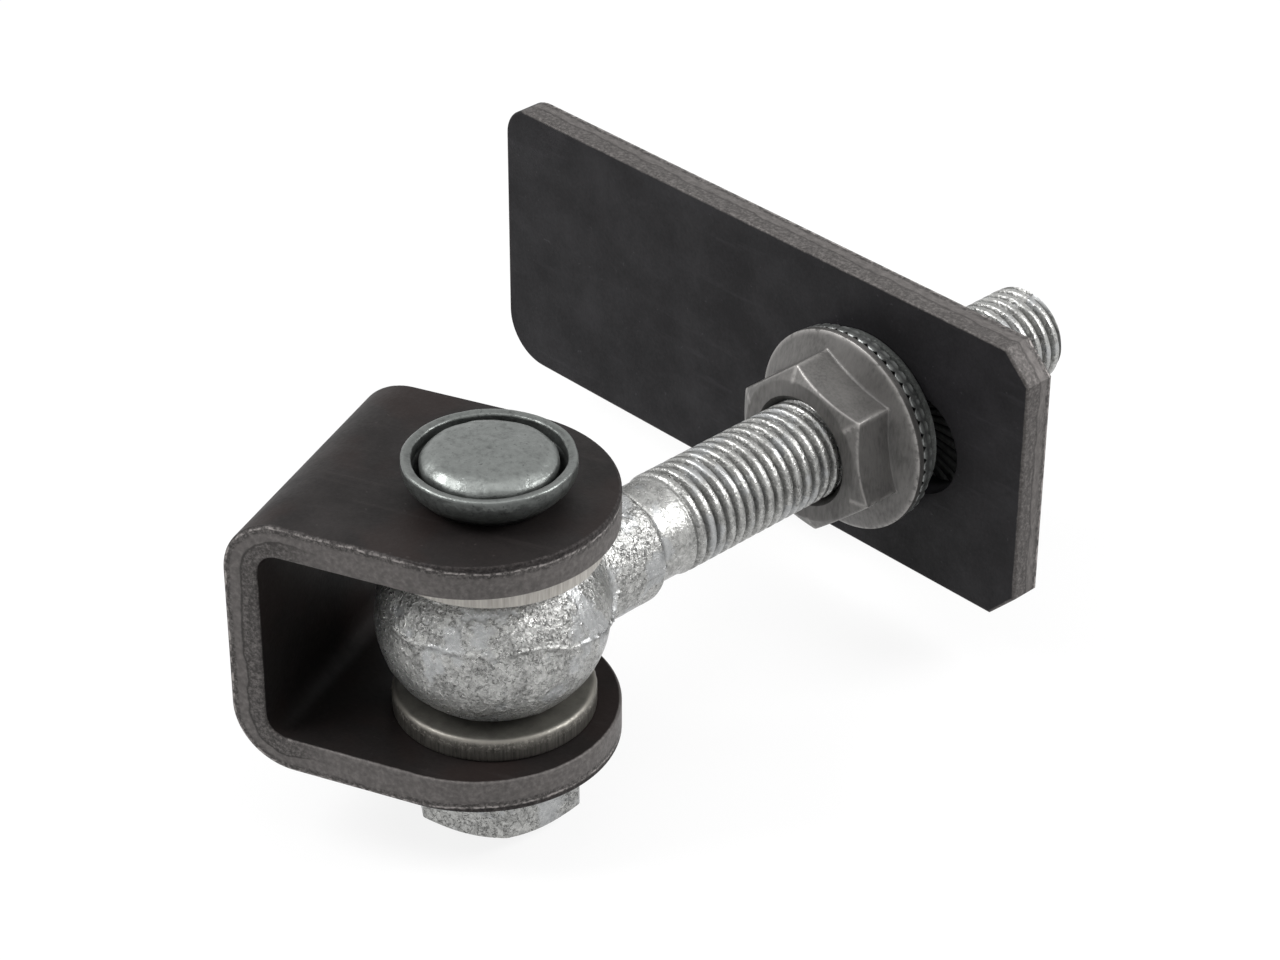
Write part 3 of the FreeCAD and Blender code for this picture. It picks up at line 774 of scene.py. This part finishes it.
class GATEHINGE_OT_eye_thread(bpy.types.Operator):
    """Rolled shank and thread of the eye bolt, a screw surface that fades in from the shank"""
    bl_idname = "gate_hinge.eye_thread"
    bl_label = "Eye bolt thread"

    def execute(self, context):
        tip = float(span("eye_bolt", ROD_PLACE)[1][2])
        crest, shank = 0.01190, 0.01130
        hidden_start, begin = 0.035, 0.0475

        def radius(h):
            """Shank radius, with a groove at the neck's foot, rising to the crests."""
            groove = 0.0007 * np.exp(-((h - NECK_END - 0.0003) / 0.0006) ** 2)
            return shank - groove + (crest - shank) * smooth_step(h, begin, begin + 0.0022)

        points, quads, painted_shade, r = screw_points(
            hidden_start, tip, radius, sizes().thread_depth, sizes().pitch, ROD_PLACE,
            (begin + 0.0002, begin + 0.0042), 0.0022, 11)
        # Painted shade in the groove at the neck's foot
        foot = np.exp(-(((points - BALL) @ ROD - NECK_END - 0.0002) / 0.0006) ** 2)
        end = end_disc(r[-1], tip, ROD_PLACE, 0.0002)
        start = end_disc(r[0], hidden_start, ROD_PLACE)
        painted_shade = np.concatenate([np.maximum(painted_shade, foot).ravel(),
                                 np.zeros(2 * (end[0].size // 3))])
        make_surface("eye_thread", [(points, quads), end, (start[0], start[1][:, ::-1])],
                     zinc_thread(), "eye", (), 60, {"painted_shade": painted_shade})
        return {"FINISHED"}


class GATEHINGE_OT_pivot_pin(bpy.types.Operator):
    """Pin: a turned outline with a domed head, and a screw surface below the nut"""
    bl_idname = "gate_hinge.pivot_pin"
    bl_label = "Pivot pin"

    def execute(self, context):
        low, high = span("pivot_pin", PIN_PLACE)
        bottom, crown = float(low[2]), float(high[2])
        head_r = 0.0146
        edge = crown - 0.0015
        seat = edge - 0.0051
        thread_top = bottom + 0.0125
        corners = [(0.0, crown), (head_r - 0.0028, crown - 0.0007), (head_r, edge - 0.0012),
                   (head_r, seat), (PIN_R, seat - head_r + PIN_R), (PIN_R, thread_top),
                   (PIN_R - 0.0015, thread_top - 0.0006), (0.0, thread_top - 0.0006)]
        outline = rounded_outline(corners, [0, 0.006, 0.0020, 0.0004, 0, 0, 0, 0], False, 9)
        outline = refined(outline, 0.0009)
        angle_columns = 160

        def uneven(radius, height, angle):
            """Slight waves on the head, none on the shank and none at the crown's pole."""
            p = around(radius, height, angle)
            from_pole = np.minimum(radius / 0.002, 1)
            return waves(p, 0.006, 21) * 0.00010 * smooth_step(height, 0.030, 0.034) * from_pole

        points = turned_points(outline, angle_columns, PIN_PLACE, uneven)
        # A centre mark in the crown, and slight hollows towards the rounding
        from_axis = np.hypot(points[..., 0] - PIN[0], points[..., 1] - PIN[1])
        on_head = points[..., 2] > edge - 0.003
        mark = np.exp(-(from_axis / 0.00055) ** 2)
        dents = waves(points, 0.0042, 22) * 0.00007 + waves(points, 0.0019, 23) * 0.00003
        points[..., 2] += on_head * (dents - mark * 0.00035)
        # Painted shade in the centre mark and on the flank under the head's edge
        painted_shade = np.maximum(mark * on_head * 0.7, smooth_step(edge - points[..., 2], 0.0016, 0.003)
                            * 0.9 * (points[..., 2] > 0))
        # A bright ring on the head's rounding, partly wear and partly painted highlight
        wear_and_glint = np.exp(-((from_axis - head_r + 0.0016) / 0.0009) ** 2) * on_head * 0.45
        make_surface("pin_head", [(points, grid_quads(len(outline), angle_columns))],
                     zinc_dull(), "bracket", ["pivot_pin"], 50,
                     {"painted_shade": painted_shade, "wear_and_glint": wear_and_glint})
        flipped = (PIN_PLACE[0], np.array([[1.0, 0, 0], [0, -1.0, 0], [0, 0, -1.0]]))
        screw, quads, deep, r = screw_points(
            -thread_top, -bottom, lambda h: PIN_R - 0.0001 + 0 * h, sizes().thread_depth,
            sizes().pitch, flipped, (-thread_top, 0.0010 - thread_top), 0.0018, 24)
        end = end_disc(r[-1], -bottom, flipped, 0.0001)
        start = end_disc(r[0], -thread_top, flipped)
        deep = np.concatenate([deep.ravel(), np.zeros(2 * (end[0].size // 3))])
        make_surface("pin_thread", [(screw, quads), end, (start[0], start[1][:, ::-1])],
                     zinc_thread(), "bracket", (), 60, {"painted_shade": deep})
        return {"FINISHED"}


class GATEHINGE_OT_head_cup(bpy.types.Operator):
    """Bowl-shaped ring round the pin's head, a closed outline carried round the pin"""
    bl_idname = "gate_hinge.head_cup"
    bl_label = "Head cup washer"

    def execute(self, context):
        low, high = span("head_cup_washer", PIN_PLACE)
        base, top = float(low[2]), float(high[2])
        r = outer_radius("head_cup_washer", PIN_PLACE) - 0.0006
        foot, mouth, hole = 0.014, 0.0162, PIN_R + 0.0003
        seat = top - 0.0032
        corners = [(hole, base), (foot, base), (r, top - 0.0042), (r, top), (mouth, top - 0.0005),
                   (mouth, seat), (hole, seat - (mouth - hole))]
        outline = rounded_outline(corners, [0, 0.0004, 0.0062, 0.0007, 0.0006, 0.0004, 0],
                                  True, 10)
        outline = refined(outline, 0.0007, True)

        def uneven(radius, height, angle):
            """Broad and narrow waves, except on the bore."""
            p = around(radius, height, angle)
            return (waves(p, 0.009, 31) * 0.00010 + waves(p, 0.003, 32) * 0.00004) * (
                radius > 0.0135)

        points = turned_points(outline, RING_COLUMNS, PIN_PLACE, uneven)
        from_axis = np.hypot(points[..., 0] - PIN[0], points[..., 1] - PIN[1])
        rim = np.exp(-((points[..., 2] - top) / 0.0006) ** 2)
        # A bright ring on the rim's outer edge, partly wear and partly painted highlight
        wear_and_glint = rim * np.exp(-((from_axis - r + 0.0005) / 0.0005) ** 2) * 0.9
        # Painted shade inside the cup's mouth and at its foot on the ear
        painted_shade = np.maximum(smooth_step(mouth + 0.0002 - from_axis, 0, 0.0006)
                            * smooth_step(top - points[..., 2], 0.0006, 0.002),
                            smooth_step(base + 0.0012 - points[..., 2], 0, 0.0012) * 0.6)
        make_surface("head_cup", [closed_ring(points)],
                     zinc_cup(), "bracket", ["head_cup_washer"], 50,
                     {"painted_shade": painted_shade, "wear_and_glint": wear_and_glint})
        return {"FINISHED"}


def hexagon_radius(angle, across_flats, turn, corner_round):
    """Distance from the middle to a hexagon's side at each angle, its corners rounded:
    the blended smaller of the two nearest sides' distances."""
    sector = (angle - turn) % (np.pi / 3)
    first = across_flats / 2 / np.cos(sector - np.pi / 6)
    low = across_flats / 2 / np.maximum(np.cos(sector + np.pi / 6), 0.2)
    high = across_flats / 2 / np.maximum(np.cos(sector - np.pi / 2), 0.2)
    return smooth_min(smooth_min(first, low, corner_round), high, corner_round)


def hexagon_angles(turn, per_side=26):
    """Column angles, closer together at the corners."""
    t = np.linspace(-1, 1, per_side, endpoint=False)
    side = (np.sign(t) * (1 - (1 - np.abs(t)) ** 1.9)) * (np.pi / 6)
    return np.sort(np.concatenate([turn + np.pi / 6 + k * np.pi / 3 + side for k in range(6)]))


def nut_surface(name, place, height, across, bore, turn, flange, finish, body,
                stands_for):
    """A hexagon nut as one closed ring of rows: outside, top, bore and underside.

    At each height the radius is the hexagon's at that angle, cut back by a turned chamfer
    and, on a flange nut, widened by the cone and rim of the flange."""
    mouth, corner_round, edge_round = 0.0014, 0.00045, 0.00035
    face_r = across * 0.475
    slope = math.tan(math.radians(30))
    angle = hexagon_angles(turn)
    if flange:
        rim_r, rim_h, cone_angle = flange
        z = np.concatenate([[0, 0, 0.0002, 0.0006], np.linspace(0.0011, rim_h - 0.0003, 4),
                            [rim_h - 0.00008, rim_h + 0.00008],
                            np.linspace(rim_h + 0.0003, rim_h + 0.0042, 22),
                            np.linspace(rim_h + 0.0048, height - 0.0030, 10),
                            np.linspace(height - 0.0027, height, 18)])
    else:
        z = np.concatenate([np.linspace(0, 0.0026, 16), np.linspace(0.0032, height - 0.0032, 12),
                            np.linspace(height - 0.0026, height, 16)])
    zz, aa = np.meshgrid(z, angle, indexing="ij")
    hexagon = hexagon_radius(aa, across, turn, corner_round)
    chamfer = face_r + (height - zz) / slope
    r = smooth_min(hexagon, chamfer, edge_round)
    corner = smooth_step(hexagon, across / 2 * 1.125, across / 2 * 1.147)
    # Bright corners and chamfer edges, partly wear and partly painted highlight
    wear_and_glint = corner * 0.45 + np.exp(-(np.abs(hexagon - chamfer) / 0.00030) ** 2) * 0.45
    painted_shade = 0 * r
    if flange:
        widening = rim_r - np.maximum(zz - rim_h, 0) / math.tan(math.radians(cone_angle))
        widening = np.minimum(widening, rim_r - np.maximum(0.0005 - zz, 0))
        # Painted shade in the crease where the flange meets the hexagon
        painted_shade = 0.45 * np.exp(-(np.abs(r - widening) / 0.0005) ** 2)
        # No bright edges where the flange covers the hexagon, and a painted highlight along the
        # flange's rim
        wear_and_glint = wear_and_glint * (r > widening) + 0.6 * np.exp(-((zz - rim_h) / 0.00028) ** 2)
        r = smooth_max(r, widening, 0.0007)
    else:
        low_chamfer = face_r + zz / slope
        # A bright lower chamfer edge, partly wear and partly painted highlight
        wear_and_glint = wear_and_glint + np.exp(-(np.abs(hexagon - low_chamfer) / 0.00035) ** 2) * 0.7
        r = smooth_min(r, low_chamfer, edge_round)
    # Inwards over the top, down the bore and out along the underside
    inner_r = np.concatenate([np.linspace(0.97, 0.80, 5) * face_r,
                              [bore + mouth, bore + mouth * 0.9, bore, bore, bore,
                               bore + mouth * 0.9, bore + mouth], [face_r * 0.9]])
    inner_z = np.concatenate([np.full(5, height), [height, height - 0.0002, height - mouth,
                              height / 2, mouth, 0.0002, 0.0], [0.0]])
    rr = np.concatenate([r, np.repeat(inner_r[:, None], len(angle), 1)])
    zz = np.concatenate([zz, np.repeat(inner_z[:, None], len(angle), 1)])
    aa = np.broadcast_to(angle, rr.shape)
    # Painted shade down the bore
    bore_shade = np.repeat((inner_r < bore + mouth * 0.5).astype(float)[:, None], len(angle), 1)
    painted_shade = np.concatenate([painted_shade, bore_shade])
    wear_and_glint = np.concatenate([wear_and_glint, np.zeros(bore_shade.shape)])
    make_surface(name, [closed_ring(put_in_place(around(rr, zz, aa), place))],
                 finish, body, stands_for, 32,
                 {"painted_shade": painted_shade, "wear_and_glint": np.clip(wear_and_glint, 0, 1)})


class GATEHINGE_OT_nuts(bpy.types.Operator):
    """Pivot nut and both flange nuts: hexagons with turned chamfers, conical flanges"""
    bl_idname = "gate_hinge.nuts"
    bl_label = "Nuts"

    def execute(self, context):
        pivot_across, pivot_turn = 0.034, math.radians(2)
        low, high = span("pivot_nut", PIN_PLACE)
        place = (np.array([PIN[0], PIN[1], float(low[2])]), PIN_PLACE[1])
        nut_surface("pivot_nut_zinc", place, float(high[2] - low[2]), pivot_across,
                    PIN_R + 0.00005, pivot_turn, None, zinc_forging(),
                    "bracket", ["pivot_nut"])
        rod_across, rod_bore_r = 0.036, 0.01205
        flange_r, flange_height, cone_angle = 0.0245, 0.0021, 22.0
        # Each flange nut's flange faces the plate, so the front one stands the other way round
        for end, seat, facing, turn in (("front", 1, -1, 10), ("rear", 0, 1, 30)):
            both = span(end + "_flange_nut", ROD_PLACE)
            place = (BALL + ROD * float(both[seat][2]), np.array([UP, facing * SIDE, facing * ROD]))
            nut_surface(end + "_nut_satin", place, float(both[1][2] - both[0][2]), rod_across,
                        rod_bore_r, math.radians(turn), (flange_r, flange_height, cone_angle),
                        nut_satin(), end + "_nut", [end + "_flange_nut"])
        return {"FINISHED"}


def ring_rows(inner, outer, thick, edge, longest):
    """Closed outline of a flat ring's section, with an arc at each of its outer edges."""
    corners = [(inner, 0), (outer, 0), (outer, thick), (inner, thick)]
    outline = rounded_outline(corners, [0.0001, edge[0], edge[1], 0.0001], True, 5)
    return refined(outline, longest, True)


class GATEHINGE_OT_thrust_washers(bpy.types.Operator):
    """Washers above and below the ball and over the slot: rounded sections carried round"""
    bl_idname = "gate_hinge.thrust_washers"
    bl_label = "Plain washers"

    def execute(self, context):
        # Finish, colours of the top, the rim and its dark streaks, how ragged the rim is, and
        # the rounds of its two outer edges
        looks = {
            "upper_washer": ("washer_upper_steel", (0.34, 0.325, 0.295), (0.37, 0.352, 0.325),
                             (0.30, 0.285, 0.262), 0.0, (0.0005, 0.0005)),
            "lower_washer": ("washer_lower_steel", (0.135, 0.130, 0.115), (0.085, 0.080, 0.071),
                             (0.035, 0.032, 0.028), 1.0, (0.0006, 0.0013)),
            "slot_washer": ("washer_slot_steel", (0.07, 0.074, 0.072), (0.085, 0.09, 0.086),
                            (0.04, 0.042, 0.04), 0.3, (0.0005, 0.0005)),
        }
        for node, (finish_name, top, rim, dark, ragged, edge) in looks.items():
            place, body, inner = (PIN_PLACE, "bracket", PIN_R + 0.0005)
            if node == "slot_washer":
                place, body, inner = (ROD_PLACE, "turner", ROD_WASHER_BORE_R)
            low, high = span(node, place)
            start = (place[0] + place[1][2] * float(low[2]), place[1])
            outer = outer_radius(node, place)
            thick = float(high[2] - low[2])
            outline = ring_rows(inner, outer, thick, edge, 0.0006)
            points = turned_points(outline, RING_COLUMNS, start)
            local = (points - start[0]) @ start[1].T
            r = np.hypot(local[..., 0], local[..., 1])
            h = local[..., 2]
            rough = waves(points, 0.0022, 51) * 0.00009 + waves(points, 0.0009, 52) * 0.00005
            side = smooth_step(r, outer - 0.0004, outer - 0.0001)
            band = np.exp(-((h - thick * 0.70) / 0.0008) ** 2)
            push = side * rough * (0.35 + ragged * band)
            out = local.copy()
            out[..., :2] *= (1 + push / r)[..., None]
            points = put_in_place(out, start)
            # Painted highlight along the upper rounded edge, stronger on the ragged washer
            glint = np.exp(-((r - outer + edge[1] * 0.30) / 0.00032) ** 2) * (h > thick * 0.6)
            fields = {"rim": side, "torn": band * side * ragged,
                      "wear_and_glint": glint * (0.3 + 0.6 * ragged)}
            finish = finish_named(finish_name, lambda n: washer_steel(n, top, rim, dark))
            make_surface(node + "_ring", [closed_ring(points)],
                         finish, body, [node], 50, fields)
        return {"FINISHED"}


class GATEHINGE_OT_lock_washers(bpy.types.Operator):
    """Toothed lock washers: a flat ring whose two faces rise and fall with the angle"""
    bl_idname = "gate_hinge.lock_washers"
    bl_label = "Lock washers"

    def execute(self, context):
        teeth = sizes().lock_teeth
        step = 2 * np.pi / teeth
        # One tooth: places as shares of its pitch, and how far the face drops there
        tooth = np.array([-0.20, -0.10, 0.10, 0.20, 0.27, 0.46, 0.54, 0.73])
        fall = np.array([0.04, 0.0, 0.0, 0.04, 0.16, 0.97, 0.97, 0.16])
        angle = (np.arange(teeth)[:, None] + tooth[None]).ravel() * step
        fall = np.tile(fall, teeth)
        for node in ("front_lock_washer", "rear_lock_washer"):
            low, high = span(node, ROD_PLACE)
            place = (BALL + ROD * float(low[2]), ROD_PLACE[1])
            outer = outer_radius(node, ROD_PLACE)
            thick = float(high[2] - low[2])
            inner = ROD_WASHER_BORE_R
            r = np.concatenate([np.linspace(inner, outer - 0.0002, 8), [outer, outer, outer],
                                np.linspace(outer - 0.0002, inner, 8)])
            face = np.concatenate([np.zeros(8), [0.08, 0.5, 0.92], np.ones(8)])
            rr, aa = np.meshgrid(r, angle, indexing="ij")
            drop = sizes().tooth_depth * fall[None] * rr / outer
            zz = drop + ((thick - drop) - drop) * face[:, None]
            points = put_in_place(around(rr, zz, aa), place)
            # Bright tooth tips at the rim, partly wear and partly painted highlight
            wear_and_glint = ((1 - fall)[None] ** 3) * np.exp(-((rr - outer) / 0.0007) ** 2) * (
                np.abs(face[:, None] - 0.5) > 0.3)
            # Painted shade in the grooves between the teeth
            painted_shade = fall[None] * (np.abs(face[:, None] - 0.5) > 0.45) * np.ones_like(rr)
            finish = finish_named("lock_washer_steel_skin", lambda n: satin_nut(
                n, (0.085, 0.088, 0.086), (0.035, 0.036, 0.035)))
            make_surface(node + "_teeth", [closed_ring(points)],
                         finish, "carriage", [node], 25,
                         {"wear_and_glint": wear_and_glint, "painted_shade": painted_shade})
        return {"FINISHED"}


def dress(node, finish):
    """Puts a finish on one of the solids."""
    mesh = frame["nodes"][node].data
    if len(mesh.polygons) == 0:
        raise RuntimeError("no faces on " + node)
    mesh.materials.clear()
    mesh.materials.append(finish)


class GATEHINGE_OT_bars(bpy.types.Operator):
    """Mill-scale skin and cut sides for the folded bracket and the weld plate"""
    bl_idname = "gate_hinge.bars"
    bl_label = "Bracket and plate finish"

    def execute(self, context):
        skin = list(colours().mill_scale)
        cut = list(colours().cut_steel)
        low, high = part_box("u_bracket")
        half, end, tall = high.y, high.x, high.z
        bend = 0.014
        punched = end - half

        def bracket_side(f, place):
            """How far outside the bar's edge line: past the round end, or past either side."""
            x, y, z = f.axes(place)
            beyond = f.maths("MAXIMUM", f.maths("SUBTRACT", x, punched), 0.0)
            reach = f.maths("SQRT", f.maths("ADD", f.times(beyond, beyond),
                                            f.times(y, y)))
            return f.maths("SUBTRACT", reach, half)

        def bracket_depth(f, place):
            """Depth under the folded bar's outer face: bend radius less the distance from
            the nearest bend's centre line, or from the flat beside it."""
            x, y, z = f.axes(place)
            inwards = f.maths("MAXIMUM", f.maths("SUBTRACT", bend, x), 0.0)
            upwards = f.maths("MAXIMUM", f.maths("SUBTRACT", f.maths("ABSOLUTE", z), tall - bend),
                              0.0)
            reach = f.maths("SQRT", f.maths("ADD", f.times(inwards, inwards),
                                            f.times(upwards, upwards)))
            return f.maths("SUBTRACT", bend, reach)

        def bracket_line(f, place):
            """The line lies close under the skin, and deeper round the punched end."""
            x, y, z = f.axes(place)
            return f.between(x, punched - 0.006, punched + 0.018, 0.0006, 0.0017)

        def on_web(f, place):
            """1 on the web and its bends, 0 out on the ears."""
            x, y, z = f.axes(place)
            return f.between(x, 0.026, 0.012)

        bracket = finish_named("bracket_mill_scale", lambda n: rolled_bar(
            n, skin, cut, lambda f: f.place, bracket_depth, bracket_side, bracket_line, on_web,
            lambda f, p: f.turned(p, scale=(0.16, 2.2, 0.16)),
            lambda f, p: p, 0.5))
        dress("u_bracket", bracket)

        low, high = span("weld_plate", BALL_PLACE)
        middle = (low + high) / 2
        reach = (high - low) / 2
        cut_corner = 0.007
        turn = math.atan2(ROD[1], ROD[0])

        def plate_local(f):
            """Coordinates on the plate: through it, along it towards the slot's end, and up."""
            moved = f.turned(f.place, location=tuple(-BALL))
            return f.turned(moved, rotation=(0, 0, -turn))

        def plate_side(f, place):
            """How far outside the outline: past an end, past an edge or past a cut corner."""
            x, y, z = f.axes(place)
            along = f.maths("SUBTRACT", f.maths("ABSOLUTE", f.maths("ADD", y, float(middle[1]))),
                            float(reach[1]))
            up = f.maths("SUBTRACT", f.maths("ABSOLUTE", z), float(reach[2]))
            corner = f.times(f.maths("ADD", f.maths("ADD", along, up), cut_corner),
                             math.sqrt(0.5))
            # The other end's corners aren't cut: there the value drops far below the others
            other_end = f.maths("SUBTRACT", f.maths("LESS_THAN", y, 0.0), 1.0)
            corner = f.maths("ADD", other_end, corner)
            return f.maths("MAXIMUM", f.maths("MAXIMUM", along, up), corner)

        def plate_depth(f, place):
            """Depth from the plate's rear face, so that the sheared band lies at the back."""
            x, y, z = f.axes(place)
            return f.maths("SUBTRACT", float(high[0]), x)

        # The bright line lies close under the rear face, and the front half is torn throughout
        rear_line, torn_share = 0.0007, 0.8
        bluish = [part * share for part, share in zip(skin, (1.08, 1.20, 1.36))]
        plate = finish_named("plate_mill_scale", lambda n: rolled_bar(
            n, bluish, cut, plate_local, plate_depth, plate_side, lambda f, p: rear_line,
            lambda f, p: torn_share, lambda f, p: f.turned(p, scale=(1.0, 0.2, 2.0)),
            lambda f, p: f.turned(p, scale=(1.0, 0.5, 0.5)), 0.0))
        dress("weld_plate", plate)
        return {"FINISHED"}


def picture_camera(scene):
    """Adds the camera, and returns the picture's right, above and ahead directions.

    The turn and tip are angles about the ball's middle from the rod's direction. The camera
    stands CAMERA_AWAY metres back from the ball, which it sees a little off the middle."""
    turn, tip, roll = CAMERA_TURN, CAMERA_TIP, CAMERA_ROLL
    ahead = np.array([math.cos(tip) * math.sin(turn), math.cos(tip) * math.cos(turn),
                      -math.sin(tip)])
    right = np.array([math.cos(turn), -math.sin(turn), 0.0])
    above = np.cross(right, ahead)
    right, above = (right * math.cos(roll) + above * math.sin(roll),
                    above * math.cos(roll) - right * math.sin(roll))
    spot = -(right * CAMERA_RIGHT + above * CAMERA_ABOVE + ahead * CAMERA_AWAY)
    axes = np.array([SIDE, ROD, UP])
    ahead, right, above, spot = (v @ axes for v in (ahead, right, above, spot))
    data = bpy.data.cameras.new("picture_camera")
    data.sensor_width = SENSOR_WIDTH
    data.lens = FOCAL_PIXELS / PICTURE_WIDTH * SENSOR_WIDTH
    data.clip_start = 0.05
    data.clip_end = 20.0
    camera = bpy.data.objects.new("picture_camera", data)
    scene.collection.objects.link(camera)
    pose = Matrix.Identity(4)
    for k, axis in enumerate((right, above, -ahead, BALL + spot)):
        for i in range(3):
            pose[i][k] = axis[i]
    camera.matrix_world = pose
    scene.camera = camera
    return right, above, ahead


def background_share(tree, share):
    """A value for a Mix Shader: share for camera, glossy and transmission rays, and 0 for
    the rays that light the object."""
    path = tree.nodes.new("ShaderNodeLightPath")
    seen = path.outputs["Is Camera Ray"]
    for kind in ("Is Glossy Ray", "Is Transmission Ray"):
        either = tree.nodes.new("ShaderNodeMath")
        either.operation = "MAXIMUM"
        tree.links.new(seen, either.inputs[0])
        tree.links.new(path.outputs[kind], either.inputs[1])
        seen = either.outputs[0]
    part = tree.nodes.new("ShaderNodeMath")
    part.operation = "MULTIPLY"
    part.inputs[1].default_value = share
    tree.links.new(seen, part.inputs[0])
    return part.outputs[0]


def lit_and_seen(tree, output_kind, kinds, looks, share):
    """Two shaders of the stated kinds, and the output: the first one meets the rays that
    light the object, and the second one is what the camera and the metals see."""
    tree.nodes.clear()
    output = tree.nodes.new(output_kind)
    mix = tree.nodes.new("ShaderNodeMixShader")
    tree.links.new(background_share(tree, share), mix.inputs[0])
    for slot, (kind, (colour, strength)) in enumerate(zip(kinds, looks), 1):
        shader = tree.nodes.new(kind)
        shader.inputs[0].default_value = (*colour, 1.0)
        if strength is not None:
            shader.inputs["Strength"].default_value = strength
        tree.links.new(shader.outputs[0], mix.inputs[slot])
    tree.links.new(mix.outputs[0], output.inputs[0])


def pale_world(scene):
    """White as the camera and the metals see it, and weaker as a light."""
    world = bpy.data.worlds.new("pale_world")
    world.use_nodes = True
    white = (1.0, 1.0, 1.0)
    lit_and_seen(world.node_tree, "ShaderNodeOutputWorld", ["ShaderNodeBackground"] * 2,
                 [(white, WORLD_LIGHT), (white, 1.0)], 1.0)
    scene.world = world


def pale_floor(scene, centre):
    """A square just under the object: part matt, so that it keeps the object's shadow."""
    mesh = bpy.data.meshes.new("pale_floor")
    level = float(CAD_BOX[0][2]) - FLOOR_GAP
    mesh.from_pydata([(centre.x + a * FLOOR_REACH, centre.y + b * FLOOR_REACH, level)
                      for a, b in ((-1, -1), (1, -1), (1, 1), (-1, 1))], [], [(0, 1, 2, 3)])
    material = bpy.data.materials.new("pale_floor")
    material.use_nodes = True
    lit_and_seen(material.node_tree, "ShaderNodeOutputMaterial",
                 ["ShaderNodeBsdfDiffuse", "ShaderNodeEmission"],
                 [(colours().floor, None), ((1.0, 1.0, 1.0), 1.0)], FLOOR_WHITE)
    mesh.materials.append(material)
    floor = bpy.data.objects.new("pale_floor", mesh)
    scene.collection.objects.link(floor)


def soft_lamp(scene, centre, name, offset, side, power):
    """A square lamp at an offset from the object's centre, turned towards it."""
    lamp = bpy.data.lights.new(name, "AREA")
    lamp.shape = "SQUARE"
    lamp.size = side
    lamp.energy = power
    holder = bpy.data.objects.new(name, lamp)
    holder.location = np.array(centre) + offset
    holder.rotation_mode = "QUATERNION"
    holder.rotation_quaternion = Vector(-offset).to_track_quat("-Z", "Y")
    scene.collection.objects.link(holder)


class GATEHINGE_OT_stage(bpy.types.Operator):
    """Pale floor, soft lamps, a white world and the camera at the photograph's angle"""
    bl_idname = "gate_hinge.stage"
    bl_label = "Stage"

    def execute(self, context):
        scene = bpy.context.scene
        scene.view_settings.view_transform = "Standard"
        right, above, ahead = picture_camera(scene)
        pale_world(scene)
        centre = (CAD_BOX[0] + CAD_BOX[1]) / 2
        pale_floor(scene, centre)
        # Each lamp's offset and side in metres, and its power in watts
        lamps = [("left_lamp", -right * 0.55 - ahead * 0.35 + above * 0.45, 0.40, 6.0),
                 ("right_lamp", right * 0.60 - ahead * 0.30 + above * 0.35, 0.34, 5.0),
                 ("top_lamp", UP * 0.8 - ahead * 0.1, 0.7, 2.0)]
        for name, offset, side, power in lamps:
            soft_lamp(scene, centre, name, offset, side, power)
        return {"FINISHED"}


class GATEHINGE_PT_panel(bpy.types.Panel):
    """Lists the hinge's sizes, colours and pieces"""
    bl_idname = "GATEHINGE_PT_panel"
    bl_label = "Gate hinge"
    bl_space_type = "VIEW_3D"
    bl_region_type = "UI"
    bl_category = "Gate hinge"

    def draw(self, context):
        scene = context.scene
        for group in (scene.gate_hinge_sizes, scene.gate_hinge_colours):
            box = self.layout.box()
            for name in group.bl_rna.properties.keys():
                if name not in ("rna_type", "name"):
                    box.prop(group, name)
        for step in STEPS:
            self.layout.operator(step.bl_idname)


STEPS = (GATEHINGE_OT_eye_forging, GATEHINGE_OT_eye_thread, GATEHINGE_OT_pivot_pin,
         GATEHINGE_OT_head_cup, GATEHINGE_OT_nuts, GATEHINGE_OT_thrust_washers,
         GATEHINGE_OT_lock_washers, GATEHINGE_OT_bars, GATEHINGE_OT_stage)
CLASSES = (GateHingeSizes, GateHingeColours) + STEPS + (GATEHINGE_PT_panel,)


def register():
    """Registers the classes and gives each scene the hinge's sizes and colours."""
    for each in CLASSES:
        bpy.utils.register_class(each)
    bpy.types.Scene.gate_hinge_sizes = bpy.props.PointerProperty(type=GateHingeSizes)
    bpy.types.Scene.gate_hinge_colours = bpy.props.PointerProperty(type=GateHingeColours)


def unregister():
    """Takes back what register did, in the opposite order."""
    del bpy.types.Scene.gate_hinge_colours
    del bpy.types.Scene.gate_hinge_sizes
    for each in reversed(CLASSES):
        bpy.utils.unregister_class(each)


def main():
    """Builds the pieces and the stage."""
    register()
    bpy.ops.gate_hinge.eye_forging()
    bpy.ops.gate_hinge.eye_thread()
    bpy.ops.gate_hinge.pivot_pin()
    bpy.ops.gate_hinge.head_cup()
    bpy.ops.gate_hinge.nuts()
    bpy.ops.gate_hinge.thrust_washers()
    bpy.ops.gate_hinge.lock_washers()
    bpy.ops.gate_hinge.bars()
    bpy.ops.gate_hinge.stage()


if __name__ == "__main__":
    main()
